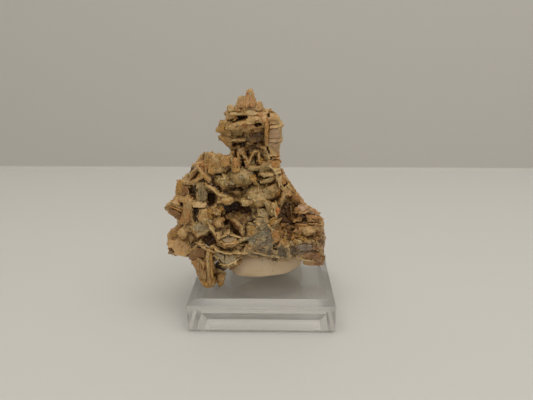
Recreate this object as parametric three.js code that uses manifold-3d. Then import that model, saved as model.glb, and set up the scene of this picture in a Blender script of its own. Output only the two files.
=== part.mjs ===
// A quartz pseudomorph on its display stand: a boxwork of bladed quartz, pressed into a lump of
// mounting putty on a bevelled block of clear acrylic.
// Millimetres, +Z up, +X right, +Y away from the viewer. The origin is the middle of the stand's underside.
import * as THREE from "three";
import { mergeVertices } from "three/addons/utils/BufferGeometryUtils.js";
import Module from "manifold-3d";

const wasm = await Module();
wasm.setup();

// ---- driving dimensions ----
const STAND_SIDE = 45; // square block of acrylic
const STAND_HEIGHT = 10;
const STAND_BEVEL = 2.5; // width of the sloping border round the top
const STAND_BEVEL_DROP = 1.2; // how far that border falls
const STAND_FOOT_CHAMFER = 0.9; // broken edge round the underside

const TOUCH_GAP = 0.3; // clearance between pieces that touch
const PUTTY_CENTRE = [1.6, 4.0];
const PUTTY_RADII = [13.6, 8.9]; // half length and half width at its widest
const PUTTY_TURN = Math.PI / 6; // how far its length is turned from the stand's front
const PUTTY_TOP = 19.5;

const ROUGHNESS_OF_LUMPS = 0.1; // share of a lump's radius that its surface wanders
const RIM_UNEVENNESS = 0.25; // share of a blade's thickness that its rim varies by
const PANEL_TAPER = 0.9; // how much smaller a panel's front is than its back

const SHORTEST_EDGE = 0.35; // edges under this are closed up
const CLOSING_PASSES = 4;
const LEAST_TURN_KEPT = 0.5; // cosine of the most that a face may turn as an edge is closed

const SLOPE_VIEW = [4, 158, 83]; // the right slope's line is true from here: x, distance and z

const BACK_BLADES = 64;
const BACK_BLADE_THICKNESS = 0.9;

// ---- small tools ----

// Repeatable pseudo-random numbers from 0 to 1.
function randomFrom(seed) {
  let state = seed;
  return () => {
    state = (state * 1664525 + 1013904223) % 4294967296;
    return state / 4294967296;
  };
}

// A smooth wandering value from -1 to 1 at a point.
function wander(x, y, z, seed) {
  const a = Math.sin(x * 1.3 + seed) * Math.cos(y * 1.7 - seed * 0.7);
  const b = Math.sin(z * 1.9 + x * 0.6 + seed * 1.3) * Math.cos(y * 0.9 + z * 0.4);
  const c = Math.sin((x + y + z) * 1.1 - seed * 2.1);
  return (a + b + c) / 3;
}

// A closed three.js geometry as a solid that can be joined and cut.
function toSolid(geometry) {
  const bare = geometry.index ? geometry.toNonIndexed() : geometry.clone();
  bare.deleteAttribute("normal");
  bare.deleteAttribute("uv");
  const merged = mergeVertices(bare, 1e-4);
  const mesh = new wasm.Mesh({
    numProp: 3,
    vertProperties: merged.attributes.position.array,
    triVerts: new Uint32Array(merged.index.array),
  });
  const made = new wasm.Manifold(mesh);
  if (made.volume() > 0) return made;
  const turned = merged.index.array.slice();
  for (let i = 0; i < turned.length; i += 3) {
    [turned[i + 1], turned[i + 2]] = [turned[i + 2], turned[i + 1]];
  }
  return toSolid(new THREE.BufferGeometry()
    .setAttribute("position", merged.attributes.position)
    .setIndex(new THREE.BufferAttribute(new Uint32Array(turned), 1)));
}

// A solid's surface as a three.js geometry.
function toGeometry(solid) {
  const mesh = solid.getMesh();
  const points = new Float32Array(mesh.numVert * 3);
  for (let i = 0; i < mesh.numVert; i++) {
    points.set(mesh.vertProperties.subarray(i * mesh.numProp, i * mesh.numProp + 3), i * 3);
  }
  const geometry = new THREE.BufferGeometry();
  geometry.setAttribute("position", new THREE.BufferAttribute(points, 3));
  geometry.setIndex(new THREE.BufferAttribute(new Uint32Array(mesh.triVerts), 1));
  geometry.computeVertexNormals();
  return geometry;
}

function joined(solids) {
  return solids.reduce((whole, piece) => whole.add(piece));
}

// Closes up the very short edges that joins leave where blades cross, so that the surface has no
// needle faces. An edge is closed only where the surface stays one skin and no face near it turns over.
function closeShortEdges(geometry, limit) {
  const points = [];
  for (let i = 0; i < geometry.attributes.position.count; i++) {
    points.push(new THREE.Vector3().fromBufferAttribute(geometry.attributes.position, i));
  }
  const faces = [];
  for (let i = 0; i < geometry.index.count; i += 3) {
    faces.push([0, 1, 2].map((k) => geometry.index.getX(i + k)));
  }
  const around = points.map(() => new Set());
  faces.forEach((face, f) => face.forEach((v) => around[v].add(f)));
  const neighbours = (v) => {
    const found = new Set([...around[v]].flatMap((f) => faces[f]));
    found.delete(v);
    return found;
  };
  const facing = ([a, b, c]) =>
    points[b].clone().sub(points[a]).cross(points[c].clone().sub(points[a]));
  // How far the faces round the two ends turn if both ends move to `place`: 1 is not at all.
  const leastTurn = (keep, drop, place) => {
    const before = [points[keep], points[drop]];
    const rest = [...around[keep], ...around[drop]]
      .filter((f) => !(faces[f].includes(keep) && faces[f].includes(drop)));
    const old = rest.map((f) => facing(faces[f]));
    points[keep] = place;
    points[drop] = place;
    const turns = rest.map((f, i) => {
      const now = facing(faces[f]);
      return now.length() < 1e-5 ? -1 : now.normalize().dot(old[i].normalize());
    });
    [points[keep], points[drop]] = before;
    return Math.min(...turns);
  };
  const shortEdges = () => {
    const edges = [];
    faces.forEach((face) => face && face.forEach((a, k) => {
      const b = face[(k + 1) % 3];
      const length = points[a].distanceTo(points[b]);
      if (a < b && length < limit) edges.push([length, a, b]);
    }));
    return edges.sort((one, other) => one[0] - other[0]);
  };
  for (let pass = 0; pass < CLOSING_PASSES; pass++) {
    shortEdges().forEach(([, keep, drop]) => {
      const nextKeep = neighbours(keep);
      const shared = [...neighbours(drop)].filter((v) => nextKeep.has(v));
      if (!nextKeep.has(drop) || shared.length !== 2) return;
      if (points[keep].distanceTo(points[drop]) > limit) return;
      const middle = points[keep].clone().lerp(points[drop], 0.5);
      const [turn, place] = [points[keep].clone(), points[drop].clone(), middle]
        .map((p) => [leastTurn(keep, drop, p), p])
        .reduce((best, now) => (now[0] > best[0] ? now : best));
      if (turn < LEAST_TURN_KEPT) return;
      points[keep] = place;
      [...around[drop]].forEach((f) => {
        if (faces[f].includes(keep)) {
          faces[f].forEach((v) => around[v].delete(f));
          faces[f] = null;
          return;
        }
        faces[f] = faces[f].map((v) => (v === drop ? keep : v));
        around[keep].add(f);
      });
      around[drop].clear();
    });
  }
  const closed = new THREE.BufferGeometry().setFromPoints(points);
  closed.setIndex(faces.filter((face) => face).flat());
  return closed;
}

// An uneven rounded lump: centre, three half sizes, a seed and how finely it is divided.
function lump([x, y, z], [rx, ry, rz], seed, detail = 1) {
  const ball = new THREE.OctahedronGeometry(1, detail);
  const at = ball.attributes.position;
  for (let i = 0; i < at.count; i++) {
    const [u, v, w] = [at.getX(i), at.getY(i), at.getZ(i)];
    const slow = wander(u * 2, v * 2, w * 2, seed);
    const quick = wander(u * 5, v * 5, w * 5, seed + 4);
    const grow = 1 + ROUGHNESS_OF_LUMPS * (slow + quick);
    at.setXYZ(i, x + rx * u * grow, y + ry * v * grow, z + rz * w * grow);
  }
  return toSolid(ball);
}

// A blade of crystal seen edge on: its rim follows a line of points, and its body runs from there
// along `drop`, into the stone. `thick` is the mean thickness at the rim, `root` at the other end.
function blade(rim, drop, thick = 0.8, root = thick * 2.2) {
  const points = rim.map((p) => new THREE.Vector3(...p));
  const into = new THREE.Vector3(...drop);
  const vertices = [];
  points.forEach((p, i) => {
    const along = points[Math.min(i + 1, points.length - 1)].clone()
      .sub(points[Math.max(i - 1, 0)]);
    const across = along.cross(into).normalize();
    const end = p.clone().add(into);
    const half = (thick / 2) * (1 + RIM_UNEVENNESS * Math.sin(p.x * 5.1 + p.z * 3.7 + p.y * 2.3));
    vertices.push(
      p.clone().addScaledVector(across, half),
      p.clone().addScaledVector(across, -half),
      end.clone().addScaledVector(across, -root / 2),
      end.clone().addScaledVector(across, root / 2),
    );
  });
  const faces = [[0, 1, 2], [0, 2, 3]];
  for (let i = 0; i + 1 < points.length; i++) {
    for (let side = 0; side < 4; side++) {
      const next = (side + 1) % 4;
      const [a, b, c, d] = [4 * i + side, 4 * i + next, 4 * i + 4 + next, 4 * i + 4 + side];
      faces.push([b, a, d], [b, d, c]);
    }
  }
  const last = 4 * (points.length - 1);
  faces.push([last, last + 2, last + 1], [last, last + 3, last + 2]);
  const geometry = new THREE.BufferGeometry().setFromPoints(vertices);
  geometry.setIndex(faces.flat());
  return toSolid(geometry);
}

// A blade seen from its broad side: an outline of [x, z] points, its middle plane at depth `y`,
// leaning back by `leanX` per mm to the right and `leanZ` per mm upwards.
function panel(outline, y, thick, leanX = 0, leanZ = 0) {
  const shape = new THREE.Shape(outline.map(([a, b]) => new THREE.Vector2(a, b)));
  const middle = new THREE.Box2().setFromPoints(shape.getPoints()).getCenter(new THREE.Vector2());
  const geometry = new THREE.ExtrudeGeometry(shape, { depth: thick, steps: 1, bevelEnabled: false });
  const at = geometry.attributes.position;
  for (let i = 0; i < at.count; i++) {
    const t = at.getZ(i);
    const taper = t > thick / 2 ? PANEL_TAPER : 1;
    const x = middle.x + taper * (at.getX(i) - middle.x);
    const z = middle.y + taper * (at.getY(i) - middle.y);
    const lean = leanX * (x - middle.x) + leanZ * (z - middle.y);
    at.setXYZ(i, x, y + thick / 2 - t + lean, z);
  }
  return toSolid(geometry);
}

// ---- the stand ----

// A square block turned out of a four-sided lathe: flat underside, broken foot edge, bevelled top.
function standGeometry() {
  const corner = Math.SQRT1_2 * STAND_SIDE;
  const inner = Math.SQRT1_2 * (STAND_SIDE - 2 * STAND_BEVEL);
  const foot = Math.SQRT1_2 * (STAND_SIDE - 2 * STAND_FOOT_CHAMFER);
  const profile = [
    [0, 0],
    [foot, 0],
    [corner, STAND_FOOT_CHAMFER],
    [corner, STAND_HEIGHT - STAND_BEVEL_DROP],
    [inner, STAND_HEIGHT],
    [0, STAND_HEIGHT],
  ].map(([r, h]) => new THREE.Vector2(r, h));
  return new THREE.LatheGeometry(profile, 4, Math.PI / 4)
    .rotateX(Math.PI / 2);
}

// ---- the putty ----

// A thumbed lump, flat where it sticks to the stand, wider than its foot, with a domed top
// that the stone sinks into. `grow` swells it, to cut the stone's seat with clearance.
function puttySolid(grow = 0) {
  const rings = [
    [0, 0.0],
    [0.95, 0.0],
    [0.99, 0.18],
    [1.0, 0.42],
    [0.93, 0.68],
    [0.72, 0.87],
    [0.4, 0.97],
    [0, 1.0],
  ].map(([r, h]) => new THREE.Vector2(r, h));
  const foot = STAND_HEIGHT + TOUCH_GAP - grow;
  const height = PUTTY_TOP + grow - foot;
  const geometry = new THREE.LatheGeometry(rings, 22).rotateX(Math.PI / 2);
  const at = geometry.attributes.position;
  for (let i = 0; i < at.count; i++) {
    const [u, v, w] = [at.getX(i), at.getY(i), at.getZ(i)];
    const swell = 1 + 0.03 * Math.sin(3 * Math.atan2(v, u) - 1.1);
    const long = (PUTTY_RADII[0] + grow) * u * swell;
    const wide = (PUTTY_RADII[1] + grow) * v * swell;
    at.setXYZ(
      i,
      PUTTY_CENTRE[0] + long * Math.cos(PUTTY_TURN) - wide * Math.sin(PUTTY_TURN),
      PUTTY_CENTRE[1] + long * Math.sin(PUTTY_TURN) + wide * Math.cos(PUTTY_TURN),
      foot + height * w,
    );
  }
  return toSolid(geometry);
}

// ---- the stone ----

// The solid masses that the blades stand on.
function stoneCore() {
  return joined([
    lump([-2, 2.5, 31], [16.5, 10.5, 12.5], 1, 3),
    lump([-16, 0, 35], [8.5, 8, 9.5], 2, 2),
    lump([12, 1.5, 25], [8.6, 8.5, 8.6], 3, 2),
    lump([-8, 1.5, 43], [10.5, 8, 7.5], 4, 2),
    lump([2.5, 1.5, 40.5], [6.2, 7.5, 8], 5, 2),
    lump([-3.5, 1, 51], [5.4, 5, 5], 6, 1),
    lump([-5.6, -0.6, 55.4], [4.2, 3.6, 2.8], 12, 1),
    lump([2.2, -0.8, 53.4], [2.4, 3.2, 2.6], 13, 1),
    lump([-4, 1.5, 59.6], [8.2, 6.8, 5.8], 7, 2),
    lump([-16.5, -11.5, 19.5], [3.6, 4.4, 7.6], 8, 1),
    lump([-22, -4.5, 25.5], [5.4, 4.6, 6], 9, 1),
    lump([-1, -6, 24.5], [9.4, 6, 5.5], 10, 2),
    lump([-14.5, -6.5, 27], [6, 5, 7], 11, 1),
  ]);
}

// The upper cluster: a crown of upright blades, ledges with shadows under them, a smooth plate.
function upperCluster() {
  return [
    // crown
    panel([[-5.4, 63.5], [-5.0, 69.4], [-4.5, 71.6], [-3.1, 71.8], [-2.4, 69.8], [-1.6, 67.6],
      [-1.4, 63.5]], -4.4, 2.0, 0.1, 0.22),
    panel([[-8.8, 63.5], [-7.9, 66.4], [-7.4, 69.2], [-6.2, 69.8], [-5.0, 69.2], [-4.4, 63.5]],
      -5.0, 1.5, -0.3, 0.15),
    panel([[-11.4, 62.5], [-10.8, 66.2], [-10.3, 66.9], [-9.4, 66.9], [-8.8, 66.0], [-7.6, 62.5]],
      -4.2, 1.7, -0.3, 0.1),
    panel([[-2.6, 63], [-1.9, 67.5], [-0.6, 68.0], [0.1, 67.2], [0.7, 63]], -3.6, 1.8, 0.25, 0.2),
    blade([[-4.4, -4.4, 66.8], [-3.9, -1.6, 70.6], [-3.6, 1.4, 69.0], [-3.2, 4.4, 65.4]],
      [0, 0, -6], 0.9),
    blade([[-7.6, -3, 66.6], [-7.0, 2, 66.8], [-6.8, 4.4, 64.2]], [0, 0, -5], 1.0),
    blade([[-0.6, -2, 66.8], [-0.4, 2, 66.0], [0.2, 4.8, 62.8]], [0, 0, -5], 1.0),
    blade([[-10.4, 1.5, 64.4], [-7, 2.6, 67.4], [-3.4, 3.2, 68.2], [-0.6, 3.4, 66.2]], [0, -0.6, -6], 1.0),
    // ledge over the slanting shadow
    blade([[-10.8, -4.6, 64.0], [-8.4, -6.4, 64.2], [-5.0, -7.2, 64.4], [-1.4, -7.0, 64.5],
      [1.2, -6.2, 64.1]], [0.3, 5, 0.4], 0.6, 2.0),
    panel([[-4.6, 62.4], [-1.0, 62.2], [1.6, 62.2], [1.4, 64.6], [-4.0, 64.8]], -6.6, 2.0, 0, 0.35),
    // wedge below it, lit along its rim
    blade([[-11.2, -5.2, 60.0], [-8.4, -7.4, 61.0], [-5.2, -8.6, 62.2], [-2.0, -9.0, 63.1],
      [1.4, -8.0, 62.8]], [0, 4.6, -1.6], 0.8, 3.2),
    panel([[-10.4, 59.4], [-10.6, 60.6], [-5.4, 62.0], [1.2, 62.6], [1.4, 60.4], [-2.4, 59.8],
      [-5.0, 59.2]], -6.4, 2.4, 0, -0.2),
    blade([[1.1, -8.0, 63], [1.6, -8.2, 60.5], [1.5, -7.9, 57.6], [1.3, -7.0, 54.6]], [0, 5, 0], 0.8),
    // pitted lump and smooth ribbed plate on the right
    lump([2.6, -4.4, 62.9], [2.5, 3.2, 2.1], 21),
    panel([[1.3, 63.2], [3.2, 64.8], [5.0, 63.7], [6.5, 61.2], [6.1, 59.2], [6.4, 56.4], [5.6, 54.4],
      [5.2, 50.8], [2.9, 51.0], [1.5, 54.0]], -5.4, 2.8, 0.15),
    blade([[2.0, -7.2, 59.7], [4.4, -7.3, 60.3], [6.5, -6.8, 61.1]], [0, 2.4, 0], 0.6, 1),
    blade([[1.7, -7.2, 56.3], [4.2, -7.4, 56.0], [6.3, -6.8, 56.4]], [0, 2.4, 0], 0.6, 1),
    // shelf inside the lower hollow, and the two fins on the left
    blade([[-10.0, -6.0, 56.1], [-7.4, -7.2, 56.4], [-4.8, -7.2, 56.3]], [0, 5, 0.3], 0.6, 1.2),
    panel([[-14.8, 58.4], [-14.0, 60.0], [-13.2, 62.0], [-11.8, 62.3], [-8.6, 61.8], [-8.6, 58.4],
      [-12.6, 57.9]], -3.6, 1.6, -0.35, 0.1),
    panel([[-13.9, 57.1], [-12.6, 57.7], [-7.6, 57.8], [-6.6, 53.0], [-9.4, 52.6], [-11.2, 54.4],
      [-12.8, 55.6]], -3.0, 1.8, -0.3, -0.2),
  ];
}

// The thin interlaced blades of the neck, and the long ridge that runs down from it.
function neckBlades() {
  return [
    blade([[-9.3, -5.4, 52.8], [-9.1, -7.4, 50.2], [-8.9, -8.2, 47.0]], [0, 5, 0], 0.7),
    blade([[-7.2, -5.4, 53.6], [-7.3, -7.2, 51.2], [-7.1, -8, 48.2]], [0.2, 5, 0], 0.7),
    blade([[-6.5, -5.4, 53.8], [-5.4, -7.2, 51.4], [-4.3, -8.4, 48.3]], [0, 5, 0], 0.8),
    blade([[-3.9, -7.6, 49.2], [-3.3, -7.4, 51.4], [-2.2, -6.8, 53.0], [-1.1, -6.8, 53.0],
      [-0.8, -7.4, 49.8]], [0, 4, 0], 0.7, 1),
    blade([[-0.4, -6.4, 54.0], [0.8, -6.6, 54.2], [1.4, -7.4, 51.9], [3.6, -8.3, 47.7],
      [5.4, -8.9, 44.0], [6.9, -9.2, 41.0], [6.7, -9.5, 39.3], [5.6, -10.1, 36.4]],
      [-1.2, 5.4, 0], 0.6, 2.4),
    panel([[2.0, 50.6], [3.4, 51.3], [5.5, 51.2], [5.5, 47.8], [6.8, 46.4], [4.4, 43.6], [1.8, 46.6]],
      -5.0, 4.0, 0.2),
    blade([[-1.2, -7.6, 47.8], [0.6, -8.2, 49.0], [2.4, -8.0, 50.1]], [0, 4, 0.4], 0.7),
    blade([[-4.4, -8.6, 48.0], [-2.6, -8.8, 48.1], [-1.0, -8.3, 47.8]], [0, 4, 0.4], 0.5),
    blade([[-0.6, -8.2, 46.2], [1.6, -8.8, 46.5], [3.8, -8.8, 46.6]], [0, 4, 0.4], 0.6),
    blade([[-0.2, -8.6, 43.6], [1.7, -9.2, 44.5], [4.0, -9.1, 45.6]], [0, 4, 0.4], 0.8),
    blade([[-4.2, -8.2, 44.6], [-2.4, -8.8, 43.9], [-0.7, -8.8, 43.3]], [0, 4, 0.4], 0.8),
  ];
}

// The upper left shoulder: paired panels, a grey plate, a spike and a ledge over a pocket.
function leftShoulder() {
  return [
    panel([[-18.4, 49.4], [-17.5, 51.4], [-16.5, 52.7], [-15.6, 52.8], [-14.7, 52.2], [-14.4, 45.8],
      [-17.6, 45.2]], -6.4, 1.6, -0.45),
    panel([[-15.4, 52.4], [-13.2, 51.8], [-11.6, 51.5], [-11.8, 46.4], [-15.1, 46.0]], -7.0, 1.5, 0.35),
    panel([[-12.6, 51.2], [-10.6, 51.4], [-9.0, 52.4], [-8.2, 46.6], [-12.4, 46.4]], -5.0, 2.4, -0.1),
    panel([[-22.4, 48.2], [-20.4, 49.4], [-19.4, 49.7], [-17.6, 49.0], [-17.4, 44.6], [-20.0, 43.6],
      [-22.4, 44.0]], -5, 1.8, -0.45),
    blade([[-20.4, -6.8, 48.8], [-19.4, -8.0, 47.2], [-18.4, -8.8, 46.0], [-16.2, -9.8, 44.2]],
      [0.8, 4.6, 0.4], 0.7),
    panel([[-24.8, 43.6], [-24.2, 45.6], [-23.7, 45.6], [-21.6, 43.2], [-22.0, 41.6]], -4.4, 1.6),
    blade([[-25.8, -5.4, 42.8], [-23.6, -7.2, 43.0], [-21.0, -8.6, 43.9], [-18.0, -9.2, 45.5]],
      [1.0, 5.4, 0.2], 0.9),
    panel([[-28.1, 39.6], [-27.4, 42.0], [-26.9, 43.2], [-25.0, 43.3], [-22.2, 42.0], [-21.8, 37.4],
      [-27.6, 37.0]], -4.4, 2.6, -0.3),
  ];
}

// The left flank: the outermost fin, a column, a striped panel on a bar and the curved bright fin.
function leftFlank() {
  return [
    panel([[-31.6, 34.0], [-31.0, 35.4], [-29.8, 36.6], [-26.8, 36.2], [-24.0, 35.0], [-24.6, 32.2],
      [-27.2, 30.4], [-28.8, 31.4], [-30.6, 32.4]], -5.8, 1.6, -0.35, -0.5),
    panel([[-29.0, 36.0], [-28.6, 37.6], [-26.8, 39.2], [-23.6, 39.4], [-23.6, 35.4]], -5.4, 1.8, -0.3, 0.3),
    panel([[-24.8, 38.4], [-23.2, 39.6], [-21.7, 38.4], [-21.5, 30.6], [-21.8, 27.2], [-24.7, 27.4]],
      -8.2, 3.0, -0.1),
    panel([[-27.2, 34.2], [-24.6, 34.8], [-24.2, 26.6], [-27.4, 27.8]], -6.6, 2.4, -0.35),
    panel([[-20.5, 43.6], [-16.8, 43.9], [-17.0, 36.4], [-20.5, 36.8]], -8.4, 2.4, -0.2, 0.05),
    blade([[-22.4, -8.8, 36.7], [-19.8, -10.4, 36.7], [-17.0, -10.8, 36.9]], [0, 4, 0], 1.2),
    blade([[-17.6, -10.2, 43.2], [-16.0, -11.6, 43.2], [-14.9, -12.2, 42.6], [-13.6, -12.5, 41.3],
      [-12.6, -12.3, 40.6], [-11.0, -11.4, 40.1]], [0.4, 5.4, -2.4], 0.7, 2),
    // granular lobes at the mouth of the big hollow
    lump([-11.4, -10.4, 38.4], [3.1, 3.2, 1.3], 31),
    lump([-14.2, -11.4, 35.3], [1.9, 3.0, 1.4], 32),
    lump([-13.4, -11.6, 31.8], [2.0, 3.0, 2.0], 33),
    lump([-17.2, -10.4, 33.2], [2.7, 3.6, 3.2], 34),
    panel([[-21.8, 31.0], [-19.4, 31.6], [-16.6, 31.8], [-15.4, 30.0], [-17.6, 27.9], [-20.0, 27.1],
      [-21.6, 28.2]], -11.6, 2.4, -0.1, 0.35),
    blade([[-16.6, -12.6, 31.8], [-14.9, -14.0, 29.6], [-13.3, -14.8, 27.2], [-12.2, -15.0, 25.2]],
      [-1.0, 4.6, -0.6], 0.6),
    blade([[-12.1, -10.2, 33.7], [-9.6, -11.2, 32.9], [-7.6, -11.6, 31.6], [-6.2, -11.8, 30.0],
      [-5.8, -12.0, 27.4]], [-1.2, 5.2, -1.4], 0.8),
    blade([[-8.6, -6.4, 35.4], [-7.9, -7.4, 33.4], [-7.2, -7.6, 31.6]], [0.6, 4, 0], 0.7),
  ];
}

// The lower left: a thin shell, a fan of blades round a cone, and plates with raised rims.
function lowerLeft() {
  return [
    panel([[-31.0, 25.0], [-29.8, 27.2], [-27.6, 28.9], [-24.0, 29.2], [-22.0, 25.4], [-22.6, 19.8],
      [-24.6, 18.9], [-26.4, 19.4], [-28.2, 18.4], [-30.4, 19.0], [-31.1, 22.0]], -7.2, 1.4, -0.3, 0.1),
    lump([-25.0, -9.0, 27.0], [1.9, 2.0, 2.2], 41),
    blade([[-23.6, -11.0, 21.2], [-21.8, -13.2, 22.8], [-20.3, -14.8, 24.4], [-19.2, -15.4, 26.6]],
      [1.6, 5.6, -1.0], 0.6, 2.2),
    blade([[-19.6, -15.0, 25.8], [-17.2, -16.4, 24.9], [-15.0, -16.6, 24.1], [-13.2, -16.2, 23.2],
      [-10.0, -15.4, 22.1], [-6.6, -14.0, 21.6]], [0.3, 5.6, -1.4], 0.8, 2.2),
    panel([[-23.2, 20.8], [-19.4, 24.8], [-17.8, 22.0], [-17.4, 13.4], [-18.4, 11.5], [-19.3, 13.4],
      [-20.7, 16.2], [-21.7, 18.4]], -13.2, 1.8, -0.55),
    blade([[-16.4, -16.6, 23.8], [-16.2, -17.5, 19.0], [-16.0, -16.8, 13.0]], [0, 5, 0], 1.2),
    lump([-16.5, -14.2, 12.9], [2.3, 2.2, 2.4], 42),
    lump([-13.0, -13.4, 13.8], [1.2, 1.8, 2.4], 43),
    blade([[-14.6, -15.8, 20.4], [-13.2, -15.2, 16.6], [-12.6, -14.2, 13.2]], [0, 4.4, 0], 0.7),
    panel([[-14.9, 22.8], [-13.4, 20.4], [-11.8, 18.1], [-10.0, 18.0], [-7.9, 19.5], [-6.5, 22.0]],
      -14.2, 1.8, 0.15, 0.45),
    lump([-9.0, -11.0, 18.4], [2.4, 3.2, 2.2], 44),
    lump([-7.4, -9.6, 22.8], [3.2, 4.0, 3.0], 45),
    panel([[-13.5, 26.0], [-12.2, 28.0], [-10.0, 28.9], [-8.0, 27.9], [-7.4, 26.2], [-9.3, 24.9],
      [-11.8, 24.7]], -13.4, 1.8, 0.05, 0.6),
    blade([[-13.6, -14.6, 25.8], [-11.4, -15.5, 24.9], [-9.2, -15.2, 25.1], [-6.8, -14.2, 26.4],
      [-4.2, -13.4, 27.2]], [0, 4.4, -0.6], 0.7),
  ];
}

// The middle and right: smooth olive masses, the grey broken face, a crest with a deep recess
// behind it, and the layered granular end.
function middleAndRight() {
  return [
    lump([-6.2, -5.4, 45.0], [4.4, 4.0, 3.0], 51, 2),
    lump([-12.2, -6.2, 43.4], [2.8, 3.4, 3.0], 58),
    lump([3.4, -6.6, 41.4], [2.8, 3.4, 3.4], 59),
    lump([-1.0, -6.0, 38.6], [4.8, 5.0, 3.8], 52, 2),
    lump([-4.8, -9.0, 37.6], [2.3, 2.8, 1.2], 53),
    blade([[0.4, -10.4, 38.4], [2.4, -11.4, 37.5], [3.3, -12.0, 36.0], [4.4, -12.7, 33.4],
      [3.8, -13.0, 30.2], [4.1, -13.2, 27.6]], [-1.6, 5.0, 0], 0.7, 3),
    panel([[-5.4, 29.0], [-4.6, 25.6], [-7.0, 22.0], [-4.6, 20.6], [0.6, 20.1], [5.4, 18.8],
      [9.8, 19.1], [9.6, 24.2], [5.2, 26.8], [4.4, 30.2], [1.6, 33.9], [-2.0, 33.9], [-2.8, 30.4]],
      -10.8, 4.4, 0.06, 0.12),
    panel([[8.8, 19.2], [9.2, 25.6], [12.6, 26.0], [17.4, 24.8], [19.9, 21.8], [20.0, 17.8],
      [16.0, 17.0], [12.4, 18.5]], -7.6, 4.0, 0.22, 0.1),
    blade([[9.8, -8.6, 30.7], [13.2, -8.0, 30.9], [16.4, -6.4, 30.5], [19.4, -4.0, 29.8]],
      [-0.6, 5, 0], 0.7),
    blade([[10.6, -8.2, 34.0], [14.2, -7.2, 33.8], [17.2, -5.4, 33.4], [19.0, -3.6, 32.2]],
      [-0.6, 5, -0.4], 0.8),
    blade([[8.0, -6.6, 42.6], [10.8, -6.0, 39.2], [12.8, -5.6, 36.9], [15.4, -5.0, 34.6]],
      [-3.4, 5, -1.4], 1.0, 3),
    blade([[5.8, -6.0, 46.8], [7.4, -5.8, 44.4], [9.4, -5.4, 41.4]], [-3.4, 4.4, -1.4], 1.0, 3),
    panel([[11.0, 34.4], [15.6, 34.2], [18.4, 32.4], [20.4, 29.4], [20.1, 26.0], [20.6, 23.0],
      [20.3, 17.4], [16.0, 16.4], [11.0, 18.4]], -3.2, 5.4, 0.15, 0.0),
    lump([13.8, -6.6, 27.7], [4.2, 3.2, 2.0], 55),
    lump([7.6, -9.4, 28.0], [2.6, 3.2, 2.4], 56),
  ];
}

// Hollows and pits: each is cut out of the joined stone.
function hollows() {
  return [
    // upper cluster
    lump([-7.4, -8.0, 62.8], [3.2, 3.4, 0.9], 61),
    lump([-1.2, -8.8, 61.3], [1.6, 3.4, 0.8], 62),
    lump([-3.0, -7.8, 57.5], [4.0, 4.0, 2.2], 65),
    lump([-1.9, -7.6, 55.4], [2.7, 3.2, 2.6], 66),
    // neck
    lump([-5.9, -8.4, 50.0], [0.8, 4.4, 1.6], 67),
    // left shoulder and flank
    lump([-13.6, -9.4, 45.4], [2.3, 3.4, 0.9], 72),
    lump([-21.4, -8.2, 41.2], [1.7, 4.6, 1.5], 73),
    lump([-20.7, -10.4, 32.8], [0.9, 4.6, 2.2], 75),
    lump([-15.3, -11.4, 38.9], [1.9, 6.4, 2.5], 76),
    // the big hollow in the middle, and the dark gap over it
    lump([-8.2, -9.6, 34.9], [5.2, 6.6, 2.8], 77, 2),
    lump([-11.6, -12.6, 31.4], [1.2, 4.6, 1.0], 79),
    lump([-6.8, -8.8, 41.6], [3.2, 3.2, 0.9], 80),
    // lower left
    lump([-21.2, -12.0, 26.2], [1.5, 4.8, 2.4], 82),
    lump([-16.0, -15.0, 26.9], [2.3, 5.4, 1.6], 83),
    lump([-18.2, -16.2, 21.6], [1.0, 3.0, 2.4], 84),
    lump([-13.4, -15.2, 18.4], [1.5, 3.6, 2.2], 85),
    // right
    lump([7.4, -10.6, 34.6], [2.8, 5.6, 4.6], 88, 2),
    lump([14.0, -7.8, 32.2], [4.4, 4.0, 0.6], 91),
    lump([10.6, -10.0, 29.3], [1.8, 3.8, 0.6], 92),
    // back and right side
    lump([-8, 13.5, 36], [3.0, 3.5, 2.2], 101),
    lump([4, 13.5, 33], [2.6, 3.4, 2.0], 102),
    lump([-16, 8.5, 38], [2.2, 3.2, 2.4], 103),
    lump([14, 9, 28], [2.4, 3.0, 1.8], 104),
    lump([-2, 13.2, 26], [2.8, 3, 1.8], 105),
    lump([-5, 8.8, 60], [2.4, 2.6, 1.6], 106),
    lump([20, -0.5, 27], [2.4, 2.2, 1.4], 108),
  ];
}

// The open air beyond the right slope, which trims whatever grows past it. Its outline is given on
// the plane y = -5 and widens evenly towards the back, so that the slope keeps one line from the front.
function airBeyondSlope() {
  const outline = [[5.5, 47.8], [5.7, 46.3], [7.2, 44.7], [8.6, 43.3], [9.6, 41.5], [10.8, 39.8],
    [11.8, 38.4], [12.9, 36.5], [14.3, 35.1], [16.4, 34.4], [17.7, 33.1], [18.6, 31.5], [19.6, 29.9],
    [20.1, 27.6], [30, 27.6], [30, 60], [12, 54]];
  const shape = new THREE.Shape(outline.map(([a, b]) => new THREE.Vector2(a, b)));
  const geometry = new THREE.ExtrudeGeometry(shape, { depth: 40, steps: 1, bevelEnabled: false });
  const at = geometry.attributes.position;
  for (let i = 0; i < at.count; i++) {
    const behind = at.getZ(i) - 15;
    const spread = 1 + behind / SLOPE_VIEW[1];
    const x = SLOPE_VIEW[0] + (at.getX(i) - SLOPE_VIEW[0]) * spread;
    const z = SLOPE_VIEW[2] + (at.getY(i) - SLOPE_VIEW[2]) * spread;
    at.setXYZ(i, x, behind - 5, z);
  }
  return toSolid(geometry);
}

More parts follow.
